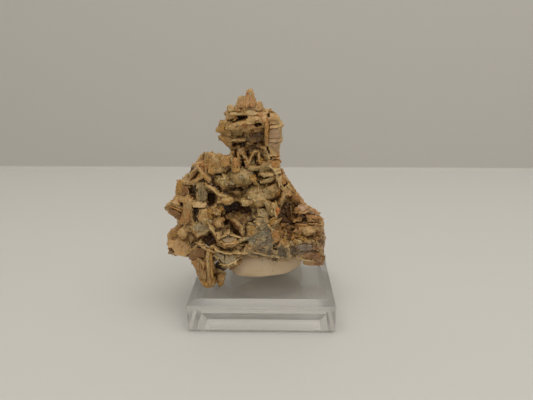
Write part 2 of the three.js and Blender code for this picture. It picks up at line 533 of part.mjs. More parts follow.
// Blades that cover the back, the sides and the top in the same way: their places are spread
// evenly over three rounded masses, and each stands across the surface in one of three set.
function backBlades() {
  const random = randomFrom(20);
  const masses = [
    { centre: [-2, 2.5, 31], half: [17, 11.5, 12.8], share: 0.36 },
    { centre: [12, 1.5, 25.5], half: [9, 9.2, 9], share: 0.16 },
    { centre: [-10, 1.5, 42], half: [13.5, 9, 8.2], share: 0.26 },
    { centre: [-4.6, 1.5, 59.4], half: [8.0, 7.2, 5.6], share: 0.22 },
  ];
  const blades = [];
  masses.forEach(({ centre, half, share }) => {
    const count = Math.round(share * BACK_BLADES);
    for (let i = 0; i < count; i++) {
      const turn = Math.PI * (0.04 + (0.92 * (i + 0.5)) / count) + 0.2 * (random() - 0.5);
      const rise = -0.75 + 1.55 * ((i * 0.618) % 1);
      const level = Math.sqrt(1 - Math.min(0.96, rise * rise));
      const out = new THREE.Vector3(Math.cos(turn) * level, Math.sin(turn) * level, rise);
      const foot = new THREE.Vector3(...centre)
        .add(out.clone().multiply(new THREE.Vector3(...half)));
      const set = [[0.2, 0.3, 1], [1, 0.5, 0.2], [-0.5, 0.9, 0.5]][i % 3];
      const along = new THREE.Vector3(...set)
        .add(new THREE.Vector3(random() - 0.5, random() - 0.5, random() - 0.5).multiplyScalar(0.7));
      along.addScaledVector(out, -along.dot(out)).normalize();
      const long = 2.4 + 2.8 * random();
      const rim = [-1, -0.3, 0.4, 1].map((t) => {
        const high = 1.0 + 1.7 * random() - 1.3 * t * t;
        return foot.clone().addScaledVector(along, t * long).addScaledVector(out, high).toArray();
      });
      const drop = out.clone().multiplyScalar(-(4 + 2 * random())).toArray();
      blades.push(blade(rim, drop, BACK_BLADE_THICKNESS));
    }
  });
  return blades;
}

function stoneSolid() {
  const whole = joined([
    stoneCore(),
    ...backBlades(),
    ...upperCluster(),
    ...neckBlades(),
    ...leftShoulder(),
    ...leftFlank(),
    ...lowerLeft(),
    ...middleAndRight(),
  ]);
  const hollowed = [...hollows(), airBeyondSlope()]
    .reduce((stone, hollow) => stone.subtract(hollow), whole);
  const seated = hollowed.subtract(puttySolid(TOUCH_GAP));
  const stone = seated.decompose()
    .reduce((big, body) => (body.volume() > big.volume() ? body : big));
  return toSolid(closeShortEdges(toGeometry(stone), SHORTEST_EDGE));
}

// ---- the object ----

const clearAcrylic = new THREE.MeshStandardMaterial({ color: 0xe4e6e2, roughness: 0.05, metalness: 0 });
clearAcrylic.transparent = true;
clearAcrylic.opacity = 0.35;
const putty = new THREE.MeshStandardMaterial({ color: 0xbfa98c, roughness: 0.75, metalness: 0 });
const bladedQuartz = new THREE.MeshStandardMaterial({ color: 0xa88355, roughness: 0.8, metalness: 0 });

function named(name, geometry, material) {
  const mesh = new THREE.Mesh(geometry, material);
  mesh.name = name;
  return mesh;
}

const specimen = new THREE.Group();
specimen.add(
  named("acrylic_base", standGeometry(), clearAcrylic),
  named("mounting_putty", toGeometry(puttySolid()), putty),
  named("pseudomorph", toGeometry(stoneSolid()), bladedQuartz),
);

export default specimen;
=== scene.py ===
import bpy
import math
import random
import numpy as np
from mathutils import Matrix, Vector, noise
from mathutils.bvhtree import BVHTree


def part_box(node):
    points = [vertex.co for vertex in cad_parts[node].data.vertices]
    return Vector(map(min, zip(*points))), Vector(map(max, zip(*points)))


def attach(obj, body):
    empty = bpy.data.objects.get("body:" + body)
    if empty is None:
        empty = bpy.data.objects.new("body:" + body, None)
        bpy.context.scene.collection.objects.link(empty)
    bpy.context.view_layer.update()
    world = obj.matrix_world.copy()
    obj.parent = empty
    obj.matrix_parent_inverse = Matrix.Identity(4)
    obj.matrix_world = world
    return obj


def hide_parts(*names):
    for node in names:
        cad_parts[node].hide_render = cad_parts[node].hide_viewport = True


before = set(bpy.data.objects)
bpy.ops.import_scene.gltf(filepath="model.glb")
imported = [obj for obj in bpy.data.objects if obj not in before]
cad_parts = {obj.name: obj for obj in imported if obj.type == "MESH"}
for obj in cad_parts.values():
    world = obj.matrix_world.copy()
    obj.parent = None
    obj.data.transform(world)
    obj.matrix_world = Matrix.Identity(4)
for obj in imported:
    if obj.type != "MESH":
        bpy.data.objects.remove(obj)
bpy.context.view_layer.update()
MM = 0.001
_, stand_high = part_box("acrylic_base")


# ---------------------------------------------------------------- the bench

SAME_POINT = 0.01 * MM  # points nearer than this are merged


def only(*pieces):
    """Leave just these pieces selected, the first of them active."""
    bpy.ops.object.select_all(action="DESELECT")
    for piece in pieces:
        piece.select_set(True)
    bpy.context.view_layer.objects.active = pieces[0]


def started(name, add, **settings):
    """A new piece, begun from one of the primitives."""
    bpy.ops.object.select_all(action="DESELECT")
    add(**settings)
    piece = bpy.context.object
    piece.name = name
    return piece


def copy_of_node(node, name):
    """A merged copy of a CAD node, to work up into a finished piece."""
    piece = bpy.data.objects.new(name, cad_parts[node].data.copy())
    bpy.context.collection.objects.link(piece)
    piece.data.materials.clear()
    only(piece)
    bpy.ops.object.mode_set(mode="EDIT")
    bpy.ops.mesh.select_all(action="SELECT")
    bpy.ops.mesh.remove_doubles(threshold=SAME_POINT)
    bpy.ops.object.mode_set(mode="OBJECT")
    return piece


def joined(pieces, name):
    """Many pieces made one, with its place in its mesh."""
    only(*pieces)
    bpy.ops.object.join()
    piece = bpy.context.object
    piece.name = name
    bpy.ops.object.transform_apply(location=True, rotation=True, scale=True)
    return piece


def apply(piece, kind, **settings):
    """Add one modifier, set it and apply it."""
    only(piece)
    modifier = piece.modifiers.new(kind.lower(), kind)
    for key, value in settings.items():
        setattr(modifier, key, value)
    bpy.ops.object.modifier_apply(modifier=modifier.name)


def recast(piece, cell, smooth=False):
    """Rebuild a piece as one even skin, its cells this wide in metres."""
    apply(piece, "REMESH", mode="VOXEL", voxel_size=cell, use_smooth_shade=smooth)


def pushed_about(piece, pattern, strength, **settings):
    """Push a piece's surface in and out by a pattern; strength in metres."""
    apply(piece, "DISPLACE", texture=pattern, strength=strength, mid_level=0.5,
          texture_coords="LOCAL", **settings)


def clouds(name, size, coloured=False):
    """A cloud pattern for pushing a surface about; size in metres."""
    texture = bpy.data.textures.new(name, "CLOUDS")
    texture.noise_scale = size
    texture.noise_depth = 1
    texture.cloud_type = "COLOR" if coloured else "GRAYSCALE"
    return texture


def broken(name, size):
    """A pattern of broken blocks, each pushed its own way; size in metres."""
    texture = bpy.data.textures.new(name, "VORONOI")
    texture.noise_scale = size
    texture.color_mode = "POSITION"
    return texture


def triangles(piece):
    return sum(len(face.vertices) - 2 for face in piece.data.polygons)


def triples(points, what):
    """The points' places or normals, as rows of three numbers."""
    values = np.empty(len(points) * 3)
    points.foreach_get(what, values)
    return values.reshape(-1, 3)


def mark(piece, name, values):
    """Record one number on each point of a piece, for its material to read."""
    piece.data.attributes.new(name, "FLOAT", "POINT").data.foreach_set("value", values)


def skin(piece):
    """A piece's surface, to cast lines at and to find the nearest place on."""
    return BVHTree.FromPolygons([vertex.co for vertex in piece.data.vertices],
                                [tuple(face.vertices) for face in piece.data.polygons])


def any_way(pick):
    """A random direction."""
    return Vector([pick.gauss(0, 1) for _ in range(3)]).normalized()


def coat(piece, material):
    """Give a piece one material all over."""
    piece.data.materials.clear()
    piece.data.materials.append(material)
    piece.data.polygons.foreach_set("material_index", [0] * len(piece.data.polygons))


# ---------------------------------------------------------------- the quarry
# Rough shapes that the stone is built up from. Each is modelled once, small
# and at the origin, and copied to where it grows. Sizes here are shares of the
# shape's own unit; "ridge" is how worn, and so how pale, a point is: that
# paleness is partly wear and partly a painted highlight.

SHAPES_OF_EACH = 8
PLATE_STEPS = 4
PLATE_RIM_DROPS = (0, 0.03, 0.07, 0.12, 0.25)
PLATE_ROUGH_ALONG = 0.08
PLATE_ROUGH_ACROSS = 0.12
PLATE_WALL = 0.7
PLATE_RIM_DEPTH = 0.2
SLAB_STEPS = 6
SLAB_ROUND_CORNERS = 0.5
SLAB_ROUGH_RIM = 0.06
SLAB_ROUGH_FACE = 0.07
SLAB_RIM_FROM = 0.38
SLAB_RIM_BEVEL = 0.35
BLOCK_SIDE = 0.9
BLOCK_CROOKED = 0.22
WEAR_AND_HIGHLIGHT = 0.3
FAINT_WEAR_AND_HIGHLIGHT = 0.05


def rough_plate(seed):
    """A broken plate one unit long, deep and thick, with its ragged rim at the top."""
    plate = started("rough_plate", bpy.ops.mesh.primitive_grid_add,
                    x_subdivisions=PLATE_STEPS, y_subdivisions=3, size=1)
    pick = random.Random(seed)
    drops = [pick.choice(PLATE_RIM_DROPS) for _ in range(PLATE_STEPS + 1)]
    for vertex in plate.data.vertices:
        x, y, z = vertex.co
        down = 0.5 - y
        drop = drops[round((x + 0.5) * PLATE_STEPS)]
        along = x + pick.uniform(-PLATE_ROUGH_ALONG, PLATE_ROUGH_ALONG)
        across = pick.uniform(-PLATE_ROUGH_ACROSS, PLATE_ROUGH_ACROSS)
        vertex.co = (along, across, -down - drop * (1 - down))
    apply(plate, "SOLIDIFY", thickness=PLATE_WALL, offset=0)
    for vertex in plate.data.vertices:
        # thicker towards the root
        vertex.co.y *= 0.8 - 0.9 * vertex.co.z
    # the rim is marked pale: partly wear, partly a painted highlight
    mark(plate, "ridge", [WEAR_AND_HIGHLIGHT if vertex.co.z > -PLATE_RIM_DEPTH else FAINT_WEAR_AND_HIGHLIGHT
                          for vertex in plate.data.vertices])
    return plate


def rough_slab(seed):
    """A broken slab: one unit across (x) and down (y), ragged all round, one unit thick (z)."""
    slab = started("rough_slab", bpy.ops.mesh.primitive_grid_add,
                   x_subdivisions=SLAB_STEPS, y_subdivisions=SLAB_STEPS, size=1)
    pick = random.Random(seed)
    for vertex in slab.data.vertices:
        x, y, z = vertex.co
        round_off = 1 - SLAB_ROUND_CORNERS * abs(x * y)
        vertex.co = (x * round_off + 0.5 + pick.uniform(-SLAB_ROUGH_RIM, SLAB_ROUGH_RIM),
                     0.5 - y * round_off + pick.uniform(-SLAB_ROUGH_RIM, SLAB_ROUGH_RIM), 0)
    apply(slab, "SOLIDIFY", thickness=1, offset=-1)
    proud = []
    for vertex in slab.data.vertices:
        x, y, z = vertex.co
        at_rim = max(abs(x - 0.5), abs(y - 0.5)) > SLAB_RIM_FROM
        if z < 0.5:
            # the seen face is uneven and falls away towards the rim
            uneven = pick.uniform(-SLAB_ROUGH_FACE, SLAB_ROUGH_FACE)
            vertex.co.z = uneven + at_rim * pick.uniform(0.0, SLAB_RIM_BEVEL)
        # rim points are marked pale at random: partly wear, partly a painted highlight
        proud.append(pick.choice((0.0, 0.1, 0.2)) if at_rim else FAINT_WEAR_AND_HIGHLIGHT)
    mark(slab, "ridge", proud)
    return slab


def rough_block(seed):
    """A crooked block, one unit across, with flat faces."""
    block = started("rough_block", bpy.ops.mesh.primitive_cube_add, size=BLOCK_SIDE)
    bpy.ops.object.mode_set(mode="EDIT")
    bpy.ops.transform.vertex_random(offset=BLOCK_CROOKED, uniform=0.0, seed=seed)
    bpy.ops.object.mode_set(mode="OBJECT")
    mark(block, "ridge", [(0.0, 0.1)[vertex.index % 2] for vertex in block.data.vertices])
    return block


def sown(shape, matrix):
    """One copy of a rough shape, with its own mesh, where it grows."""
    piece = bpy.data.objects.new(shape.name, shape.data.copy())
    bpy.context.collection.objects.link(piece)
    piece.matrix_world = matrix
    return piece


def columns(x, y, z, place):
    """Where a shape goes, from its three sides and its place, in metres."""
    return Matrix((
        (x[0], y[0], z[0], place[0]),
        (x[1], y[1], z[1], place[1]),
        (x[2], y[2], z[2], place[2]),
        (0, 0, 0, 1)))


def chip_matrix(start, end, back, thick):
    """Where a chip goes: rim from start to end, root along back. All in mm."""
    along = end - start
    side = along.cross(back).normalized()
    return columns(along * MM, side * thick * MM, -back * MM, (start + end) * 0.5 * MM)


# ---------------------------------------------------------------- the stone
# Places on the stone's face are given as they look from the front: mm across
# and up on an upright plane, dropped onto the stone along the line of sight.

CAMERA_PLACE = Vector((3.99, -163.2, 82.94)) * MM
CHIPS = [rough_plate(seed) for seed in range(SHAPES_OF_EACH)]
BLOCKS = [rough_block(seed) for seed in range(SHAPES_OF_EACH)]
SLABS = [rough_slab(seed) for seed in range(SHAPES_OF_EACH)]
chance = random.Random(11)

# In mm, or as shares of the piece's own size. A pair is a lowest and a highest.
RIM_DEPTH = 1.2  # how far a rim's points may lie before or behind its middle one
PANEL_THICK = 1.4
PANEL_LEAN = 1.25  # times what its corners say
PANEL_GRAIN_PLACES = (0.12, 0.88)
PANEL_GRAIN_SIZES = (0.3, 0.8)
CHIP_LENGTH = 2.2
CHIP_OVERLAP = 0.18
CHIP_ASIDE = (-0.14, 0.14)
CHIP_SUNK = (-0.25, 0.3)
CHIP_TURN = (-0.3, 0.3)
CHIP_THICKNESS = (0.8, 1.2)
BLADE_SLIM = 0.7
CLUMP_HEART = (0.8, 0.75, 0.7)
CLUMP_REACH = 0.42
CLUMP_GRAINS = (0.5, 0.9)
WHOLE_TURN = 6.28  # radians
BEAD_SHAPE = (0.9, 0.8, 1.1)
HOLLOW_SUNK = 0.15


class Face:
    """The stone's face as seen from the front, to place things on."""

    def __init__(self, stone, plane):
        self.skin = skin(stone)
        self.plane = plane

    def sight(self, x, z):
        """The line of sight through a place, and how far along it the stone lies."""
        through = Vector((x, self.plane, z)) * MM
        line = (through - CAMERA_PLACE).normalized()
        hit = self.skin.ray_cast(CAMERA_PLACE, line)[0]
        if hit is None:
            hit = self.skin.find_nearest(through)[0]
        return line, (hit - CAMERA_PLACE).dot(line)

    def rim(self, points):
        """Rim points in mm; each is (x, z, rise towards the viewer)."""
        sights = [self.sight(x, z) for x, z, rise in points]
        middle = sorted(far for line, far in sights)[len(sights) // 2]
        rim = []
        for (line, far), (x, z, rise) in zip(sights, points):
            far = min(max(far, middle - RIM_DEPTH * MM), middle + RIM_DEPTH * MM)
            rim.append((CAMERA_PLACE + line * (far - rise * MM)) / MM)
        return rim


def panel(corners, thick, grains):
    """A broken slab filling four corners, its thickness away from the viewer, with so many
    grains on each square mm. All in mm."""
    piece = sown(chance.choice(SLABS), Matrix.Identity(4))
    first, second, third, fourth = corners
    away = (sum(corners, Vector()) / 4 - CAMERA_PLACE / MM).normalized() * thick
    for vertex in piece.data.vertices:
        across, down, deep = vertex.co
        above = first.lerp(second, across)
        below = fourth.lerp(third, across)
        vertex.co = (above.lerp(below, down) + away * deep) * MM
    pieces = [piece]
    area = (first - third).cross(second - fourth).length / 2
    for _ in range(round(area * grains)):
        across = chance.uniform(*PANEL_GRAIN_PLACES)
        down = chance.uniform(*PANEL_GRAIN_PLACES)
        spot = first.lerp(second, across).lerp(fourth.lerp(third, across), down)
        size = chance.uniform(*PANEL_GRAIN_SIZES)
        pieces.append(knob(spot, (size, size * 0.8, size * 0.6)))
    return pieces


def tinted(pieces, tint):
    """Give pieces one of the stone's shades."""
    for piece in pieces:
        count = len(piece.data.vertices)
        shades = piece.data.attributes.new("tint", "FLOAT_COLOR", "POINT")
        shades.data.foreach_set("color", list(TINTS[tint]) * count)
        mark(piece, "tinted", [1.0] * count)
    return pieces


def blade(rim, back, thick):
    """A broken plate: overlapping chips along a rim, roots along back. All in mm."""
    chips = []
    for start, end in zip(rim, rim[1:]):
        steps = max(1, round((end - start).length / CHIP_LENGTH))
        for step in range(steps):
            here = start.lerp(end, step / steps)
            there = start.lerp(end, (step + 1) / steps)
            over = (there - here) * CHIP_OVERLAP
            side = (there - here).cross(back).normalized()
            shift = side * chance.uniform(*CHIP_ASIDE) - back.normalized() * chance.uniform(*CHIP_SUNK)
            turn = side * chance.uniform(*CHIP_TURN) * back.length
            chips.append(sown(chance.choice(CHIPS), chip_matrix(
                here - over + shift, there + over + shift, back + turn,
                thick * chance.uniform(*CHIP_THICKNESS))))
    return chips


def knob(place, size):
    """One crooked block, turned at random. Place and its three sizes in mm."""
    turn = Matrix.Rotation(chance.uniform(0, WHOLE_TURN), 3, (chance.random(), chance.random(), 1))
    x, y, z = [turn.col[i] * size[i] * MM for i in range(3)]
    return sown(chance.choice(BLOCKS), columns(x, y, z, Vector(place) * MM))


def clump(place, size):
    """A lump made of one block with smaller ones grown on it. Place and size in mm."""
    lumps = [knob(place, [size * share for share in CLUMP_HEART])]
    for _ in range(round(6 + size * 4)):
        way = any_way(chance)
        small = min(size * 0.5, chance.uniform(*CLUMP_GRAINS))
        lumps.append(knob(Vector(place) + way * size * CLUMP_REACH, (small, small * 0.8, small)))
    return lumps


def bead(place, size):
    """A smooth glassy drop of mineral. Place and size in mm."""
    drop = started("bead", bpy.ops.mesh.primitive_ico_sphere_add, subdivisions=4,
                   radius=size * 0.5 * MM)
    bpy.ops.object.mode_set(mode="EDIT")
    bpy.ops.transform.resize(value=BEAD_SHAPE)
    bpy.ops.transform.translate(value=Vector(place) * MM)
    bpy.ops.object.mode_set(mode="OBJECT")
    mark(drop, "wet", [1.0] * len(drop.data.vertices))
    return drop


def hollow(face, x, z, wide, tall, deep, tilt):
    """A rough hollow to cut: half sizes in mm, tilt in degrees anticlockwise."""
    line, far = face.sight(x, z)
    side = line.cross(Vector((0, 0, 1))).normalized()
    up = side.cross(line)
    angle = math.radians(tilt)
    across = side * math.cos(angle) + up * math.sin(angle)
    upward = up * math.cos(angle) - side * math.sin(angle)
    centre = CAMERA_PLACE + line * (far + HOLLOW_SUNK * deep * MM)
    return sown(chance.choice(BLOCKS), columns(across * 2 * wide * MM, line * 2 * deep * MM,
                                                upward * 2 * tall * MM, centre))


# Each region has the plane its places are read on (its y), and the number of
# grains on a square mm of its panels. Then come its hollows (x, z, half width,
# half height, depth, tilt); its panels (upper left, upper right, lower right and
# lower left corners, tint), each corner (x, z, rise towards the viewer); its
# blades (rim, way to the root, thickness, tint); its clumps (x, z, rise, size,
# tint); and its glassy beads, given as clumps are. All in mm.
HEAD = {
    "plane": -5, "grains": 0.12,
    "hollows": [
        (-7.6, 62.6, 2.4, 0.9, 2.2, 12), (-5.9, 63.1, 1.2, 0.5, 3.0, 12),
        (-1.1, 61.2, 1.5, 0.8, 3.0, 15), (1.9, 63.8, 0.6, 0.8, 1.6, 0),
        (-2.3, 57.2, 2.9, 1.9, 2.6, 0), (-7.0, 54.8, 2.4, 0.9, 3.0, 0),
        (-4.5, 52.0, 0.6, 1.6, 3.0, 0), (-13.4, 57.9, 1.5, 0.4, 6.0, -12)],
    "panels": [
        ((-4.9, 71.3, 0.2), (-3.6, 71.6, 0.5), (-3.9, 66.0, 1.0), (-5.6, 66.0, 0.7), "orange"),
        ((-3.8, 71.6, 0.5), (-2.5, 71.2, 0.1), (-1.7, 66.5, 0.5), (-3.9, 66.0, 1.0), "orange"),
        ((-7.0, 69.5, 0.1), (-5.2, 69.8, 0.4), (-5.0, 66.2, 0.9), (-7.7, 66.2, 0.6), "orange"),
        ((-1.9, 67.8, 0.4), (-0.2, 68.0, 0.1), (0.1, 65.0, 0.5), (-2.2, 65.0, 0.9), "tan"),
        ((-10.6, 66.9, 0.1), (-8.8, 67.3, 0.4), (-8.2, 65.2, 0.9), (-10.5, 64.6, 0.5), "pale"),
        ((-8.6, 66.6, 0.3), (-7.0, 66.4, 0.5), (-6.5, 65.0, 1.0), (-8.4, 64.9, 0.8), "tan"),
        ((-9.8, 65.0, 0.4), (-5.4, 65.0, 0.5), (-5.0, 63.9, 1.5), (-10.2, 63.9, 1.2), "pale"),
        ((-5.6, 65.3, 0.5), (-1.2, 65.1, 0.4), (-1.6, 63.9, 1.4), (-5.4, 63.6, 1.6), "pale"),
        ((-10.0, 61.2, 0.9), (-5.0, 62.9, 1.2), (-4.6, 61.4, 1.5), (-9.6, 60.0, 1.2), "tan"),
        ((-5.0, 62.9, 1.2), (-1.0, 63.1, 1.0), (-2.6, 61.0, 1.3), (-4.8, 61.0, 1.5), "pale"),
        ((-1.0, 63.1, 1.0), (1.2, 62.2, 0.7), (0.9, 60.4, 1.0), (0.2, 61.6, 1.1), "orange"),
        ((-3.3, 60.3, 0.8), (0.3, 60.5, 0.7), (0.6, 59.2, 1.2), (-2.4, 58.6, 1.3), "tan"),
        ((-9.2, 59.9, 1.2), (-6.0, 60.0, 1.3), (-6.2, 57.0, 0.3), (-9.6, 57.6, 0.5), "olive"),
        ((-5.6, 60.4, 1.3), (-3.4, 59.8, 1.2), (-3.6, 58.2, 0.5), (-5.2, 57.8, 0.3), "olive"),
        ((-9.6, 56.5, 1.2), (-4.9, 56.7, 1.3), (-4.9, 55.9, 1.5), (-9.4, 55.8, 1.3), "pale"),
        ((0.8, 61.8, 1.2), (1.8, 61.4, 0.8), (1.9, 56.6, 0.8), (1.0, 57.0, 1.2), "ochre"),
        ((2.7, 64.6, 0.3), (4.4, 63.6, 0.1), (5.5, 61.6, 0.1), (2.2, 61.0, 0.6), "tan"),
        ((2.2, 60.7, 0.5), (5.1, 61.0, 0.3), (5.1, 60.2, 0.6), (2.2, 59.7, 1.0), "pale"),
        ((2.2, 59.6, 0.7), (5.9, 60.2, 0.4), (5.8, 56.4, 0.2), (2.0, 56.4, 0.4), "pink"),
        ((2.0, 56.6, 0.4), (5.9, 56.6, 0.2), (5.8, 55.6, 0.6), (2.1, 55.4, 0.9), "pink"),
        ((1.6, 55.4, 0.6), (5.5, 55.5, 0.3), (4.8, 51.3, 0.1), (2.6, 51.6, 0.4), "pink"),
        ((-12.6, 62.2, 0.4), (-11.0, 62.0, 0.7), (-11.8, 58.4, 0.5), (-14.4, 58.5, 0.1), "ochre"),
        ((-13.6, 57.6, 0.1), (-11.6, 57.8, 0.5), (-9.6, 53.7, 0.6), (-11.0, 54.2, 0.3), "ochre"),
        ((-11.4, 61.6, 0.5), (-9.6, 61.0, 0.9), (-9.4, 57.2, 0.9), (-11.8, 57.6, 0.5), "tan"),
        ((-11.6, 57.4, 0.4), (-9.6, 57.0, 0.8), (-9.2, 53.4, 0.7), (-10.4, 54.0, 0.4), "tan"),
        ((-8.2, 54.6, 0.5), (-6.9, 54.9, 0.8), (-6.6, 53.0, 0.9), (-7.6, 52.8, 0.6), "ochre")],
    "blades": [
        ([(0.2, 60.0, 0.5), (0.4, 58.4, 0.6), (0.0, 56.8, 0.4)], (0, 3, 0), 0.7, "olive"),
        ([(-7.3, 60.3, 0.2), (-7.5, 58.6, 0.2), (-8.0, 57.1, 0.3)], (0, 3, 0), 0.6, "olive")],
    "clumps": [(-8.2, 54.4, -2.5, 3.0, "brown"), (-7.4, 53.2, -2.2, 2.6, "brown"),
              (-4.4, 57.7, 0.2, 1.0, "pale"), (-0.9, 54.3, 0.4, 1.8, "olive"),
              (-2.8, 54.0, 0.3, 2.0, "olive"), (-1.6, 56.0, -1.4, 2.4, "olive")]}
NECK = {
    "plane": -10, "grains": 0.35,
    "hollows": [
        (-5.9, 49.9, 0.8, 0.9, 4.0, 0), (-5.8, 51.0, 0.4, 0.8, 4.0, 0),
        (-4.4, 52.8, 0.4, 0.9, 3.0, 0), (-8.0, 42.0, 2.3, 0.7, 3.0, 3),
        (-5.9, 41.6, 0.8, 0.5, 3.0, 20), (-0.9, 44.3, 0.6, 0.6, 2.8, 0),
        (1.5, 45.3, 1.9, 0.4, 2.6, 5), (3.0, 43.7, 1.3, 0.5, 2.2, 25),
        (-9.8, 47.9, 0.7, 0.5, 1.6, 0), (-13.8, 46.0, 2.0, 0.6, 3.2, 12),
        (4.2, 51.0, 1.8, 0.3, 8.0, 0)],
    "panels": [
        ((-17.4, 52.6, 0.1), (-16.0, 53.2, 0.4), (-16.2, 48.0, 0.8), (-17.6, 47.6, 0.4), "amber"),
        ((-15.8, 52.2, 0.4), (-13.8, 51.6, 0.5), (-13.0, 46.8, 1.0), (-16.6, 46.2, 1.0), "ochre"),
        ((-15.8, 53.5, 0.1), (-12.6, 52.6, 0.1), (-12.4, 51.2, 0.7), (-15.6, 52.2, 0.6), "ochre"),
        ((-12.8, 52.0, 0.3), (-9.4, 52.6, 0.3), (-9.4, 49.2, 0.9), (-12.4, 48.6, 0.9), "ochre"),
        ((-9.3, 52.2, 0.6), (-8.9, 52.2, 0.8), (-8.9, 47.0, 1.0), (-9.3, 47.0, 0.8), "pale"),
        ((-8.9, 52.0, 0.4), (-7.0, 51.8, 0.4), (-6.9, 48.9, 0.8), (-8.9, 48.4, 0.9), "amber"),
        ((-8.9, 48.8, 0.9), (-6.6, 48.8, 0.9), (-6.6, 47.2, 1.1), (-8.9, 46.8, 1.1), "ochre"),
        ((-6.3, 53.4, 0.7), (-5.3, 53.2, 0.7), (-3.6, 48.2, 1.1), (-4.6, 48.2, 1.1), "amber"),
        ((-4.2, 48.6, 0.8), (-0.9, 48.3, 0.8), (-1.0, 47.6, 1.3), (-4.0, 47.7, 1.3), "pale"),
        ((-3.9, 51.6, 0.5), (-2.2, 52.6, 0.6), (-1.8, 49.3, 0.9), (-3.8, 49.4, 0.9), "olive"),
        ((-1.9, 53.4, 0.5), (-0.6, 53.6, 0.7), (-0.7, 50.3, 0.9), (-1.8, 50.5, 0.7), "ochre"),
        ((0.2, 54.2, 0.2), (1.1, 54.2, 0.6), (1.8, 51.2, 0.8), (0.2, 50.6, 0.6), "olive"),
        ((1.1, 54.2, 0.8), (1.6, 54.0, 0.7), (2.7, 51.3, 0.9), (2.0, 51.0, 1.1), "pale"),
        ((2.8, 50.9, 0.4), (5.1, 51.1, 0.1), (5.3, 47.6, 0.5), (3.2, 48.2, 0.9), "amber"),
        ((-1.0, 48.7, 0.7), (1.9, 50.4, 0.8), (2.9, 48.0, 1.0), (-0.6, 46.8, 1.3), "olive"),
        ((-0.2, 46.5, 0.8), (3.6, 47.2, 0.8), (3.9, 46.2, 1.5), (0.2, 45.7, 1.5), "pale"),
        ((0.4, 44.9, 0.9), (3.8, 46.1, 0.9), (4.2, 45.1, 1.6), (0.6, 43.4, 1.6), "pale"),
        ((4.8, 46.8, 0.3), (6.7, 46.6, 0.1), (7.6, 43.4, 0.4), (5.6, 43.4, 0.7), "amber"),
        ((6.8, 43.2, 0.3), (9.0, 42.6, 0.1), (10.0, 39.8, 0.4), (7.0, 39.6, 0.8), "tan"),
        ((-11.2, 47.4, 0.4), (-7.6, 47.2, 0.7), (-7.4, 43.2, 1.0), (-10.6, 43.4, 0.8), "olive"),
        ((-7.6, 47.0, 0.6), (-4.2, 47.0, 0.8), (-3.8, 43.4, 1.1), (-7.4, 43.0, 1.1), "grey"),
        ((-3.6, 46.8, 0.6), (-1.6, 46.6, 0.6), (-1.4, 44.6, 1.0), (-3.4, 44.2, 1.0), "ochre"),
        ((-2.6, 44.1, 0.8), (-0.8, 43.7, 0.8), (-0.6, 43.0, 1.3), (-2.4, 43.1, 1.3), "pale"),
        ((-4.4, 42.2, 0.5), (0.0, 42.6, 0.5), (0.4, 38.8, 1.0), (-4.8, 38.6, 1.0), "olive"),
        ((0.0, 42.4, 0.6), (3.6, 42.2, 0.5), (3.8, 38.6, 1.0), (0.6, 38.8, 1.0), "olive")],
    "blades": [
        ([(-7.4, 52.6, 0.5), (-6.9, 51.0, 0.7), (-7.0, 49.0, 0.6)], (0, 3, 0), 0.6, "amber"),
        ([(2.3, 49.5, 1.2), (3.4, 48.0, 1.4), (4.1, 46.7, 1.5), (4.9, 44.8, 1.5),
          (5.4, 43.0, 1.5), (5.6, 42.0, 1.4)], (0.8, 3, 0), 0.5, "pale"),
        ([(6.8, 42.6, 1.2), (6.9, 41.0, 1.2), (6.4, 38.8, 1.2), (5.8, 36.8, 1.0)],
         (0.6, 3, 0), 0.5, "pale"),
        ([(-17.0, 51.6, 0.4), (-17.2, 49.0, 0.6), (-17.0, 46.4, 0.6)], (0.4, 3, 0), 0.8, "amber")],
    "clumps": [(-0.2, 51.8, 0.2, 2.6, "olive"), (-0.4, 50.6, 0.3, 2.0, "ochre"),
              (-9.2, 44.4, 0.8, 1.4, "olive"), (-6.0, 45.6, 0.9, 1.4, "grey"),
              (-4.8, 44.2, 1.0, 1.2, "olive"), (-13.6, 45.0, 0.2, 2.2, "olive"),
              (-11.6, 44.6, 0.2, 2.0, "olive"), (5.0, 41.0, 0.4, 2.0, "amber"),
              (8.0, 44.2, 0.2, 1.8, "amber"), (9.6, 41.6, 0.2, 1.8, "amber")]}
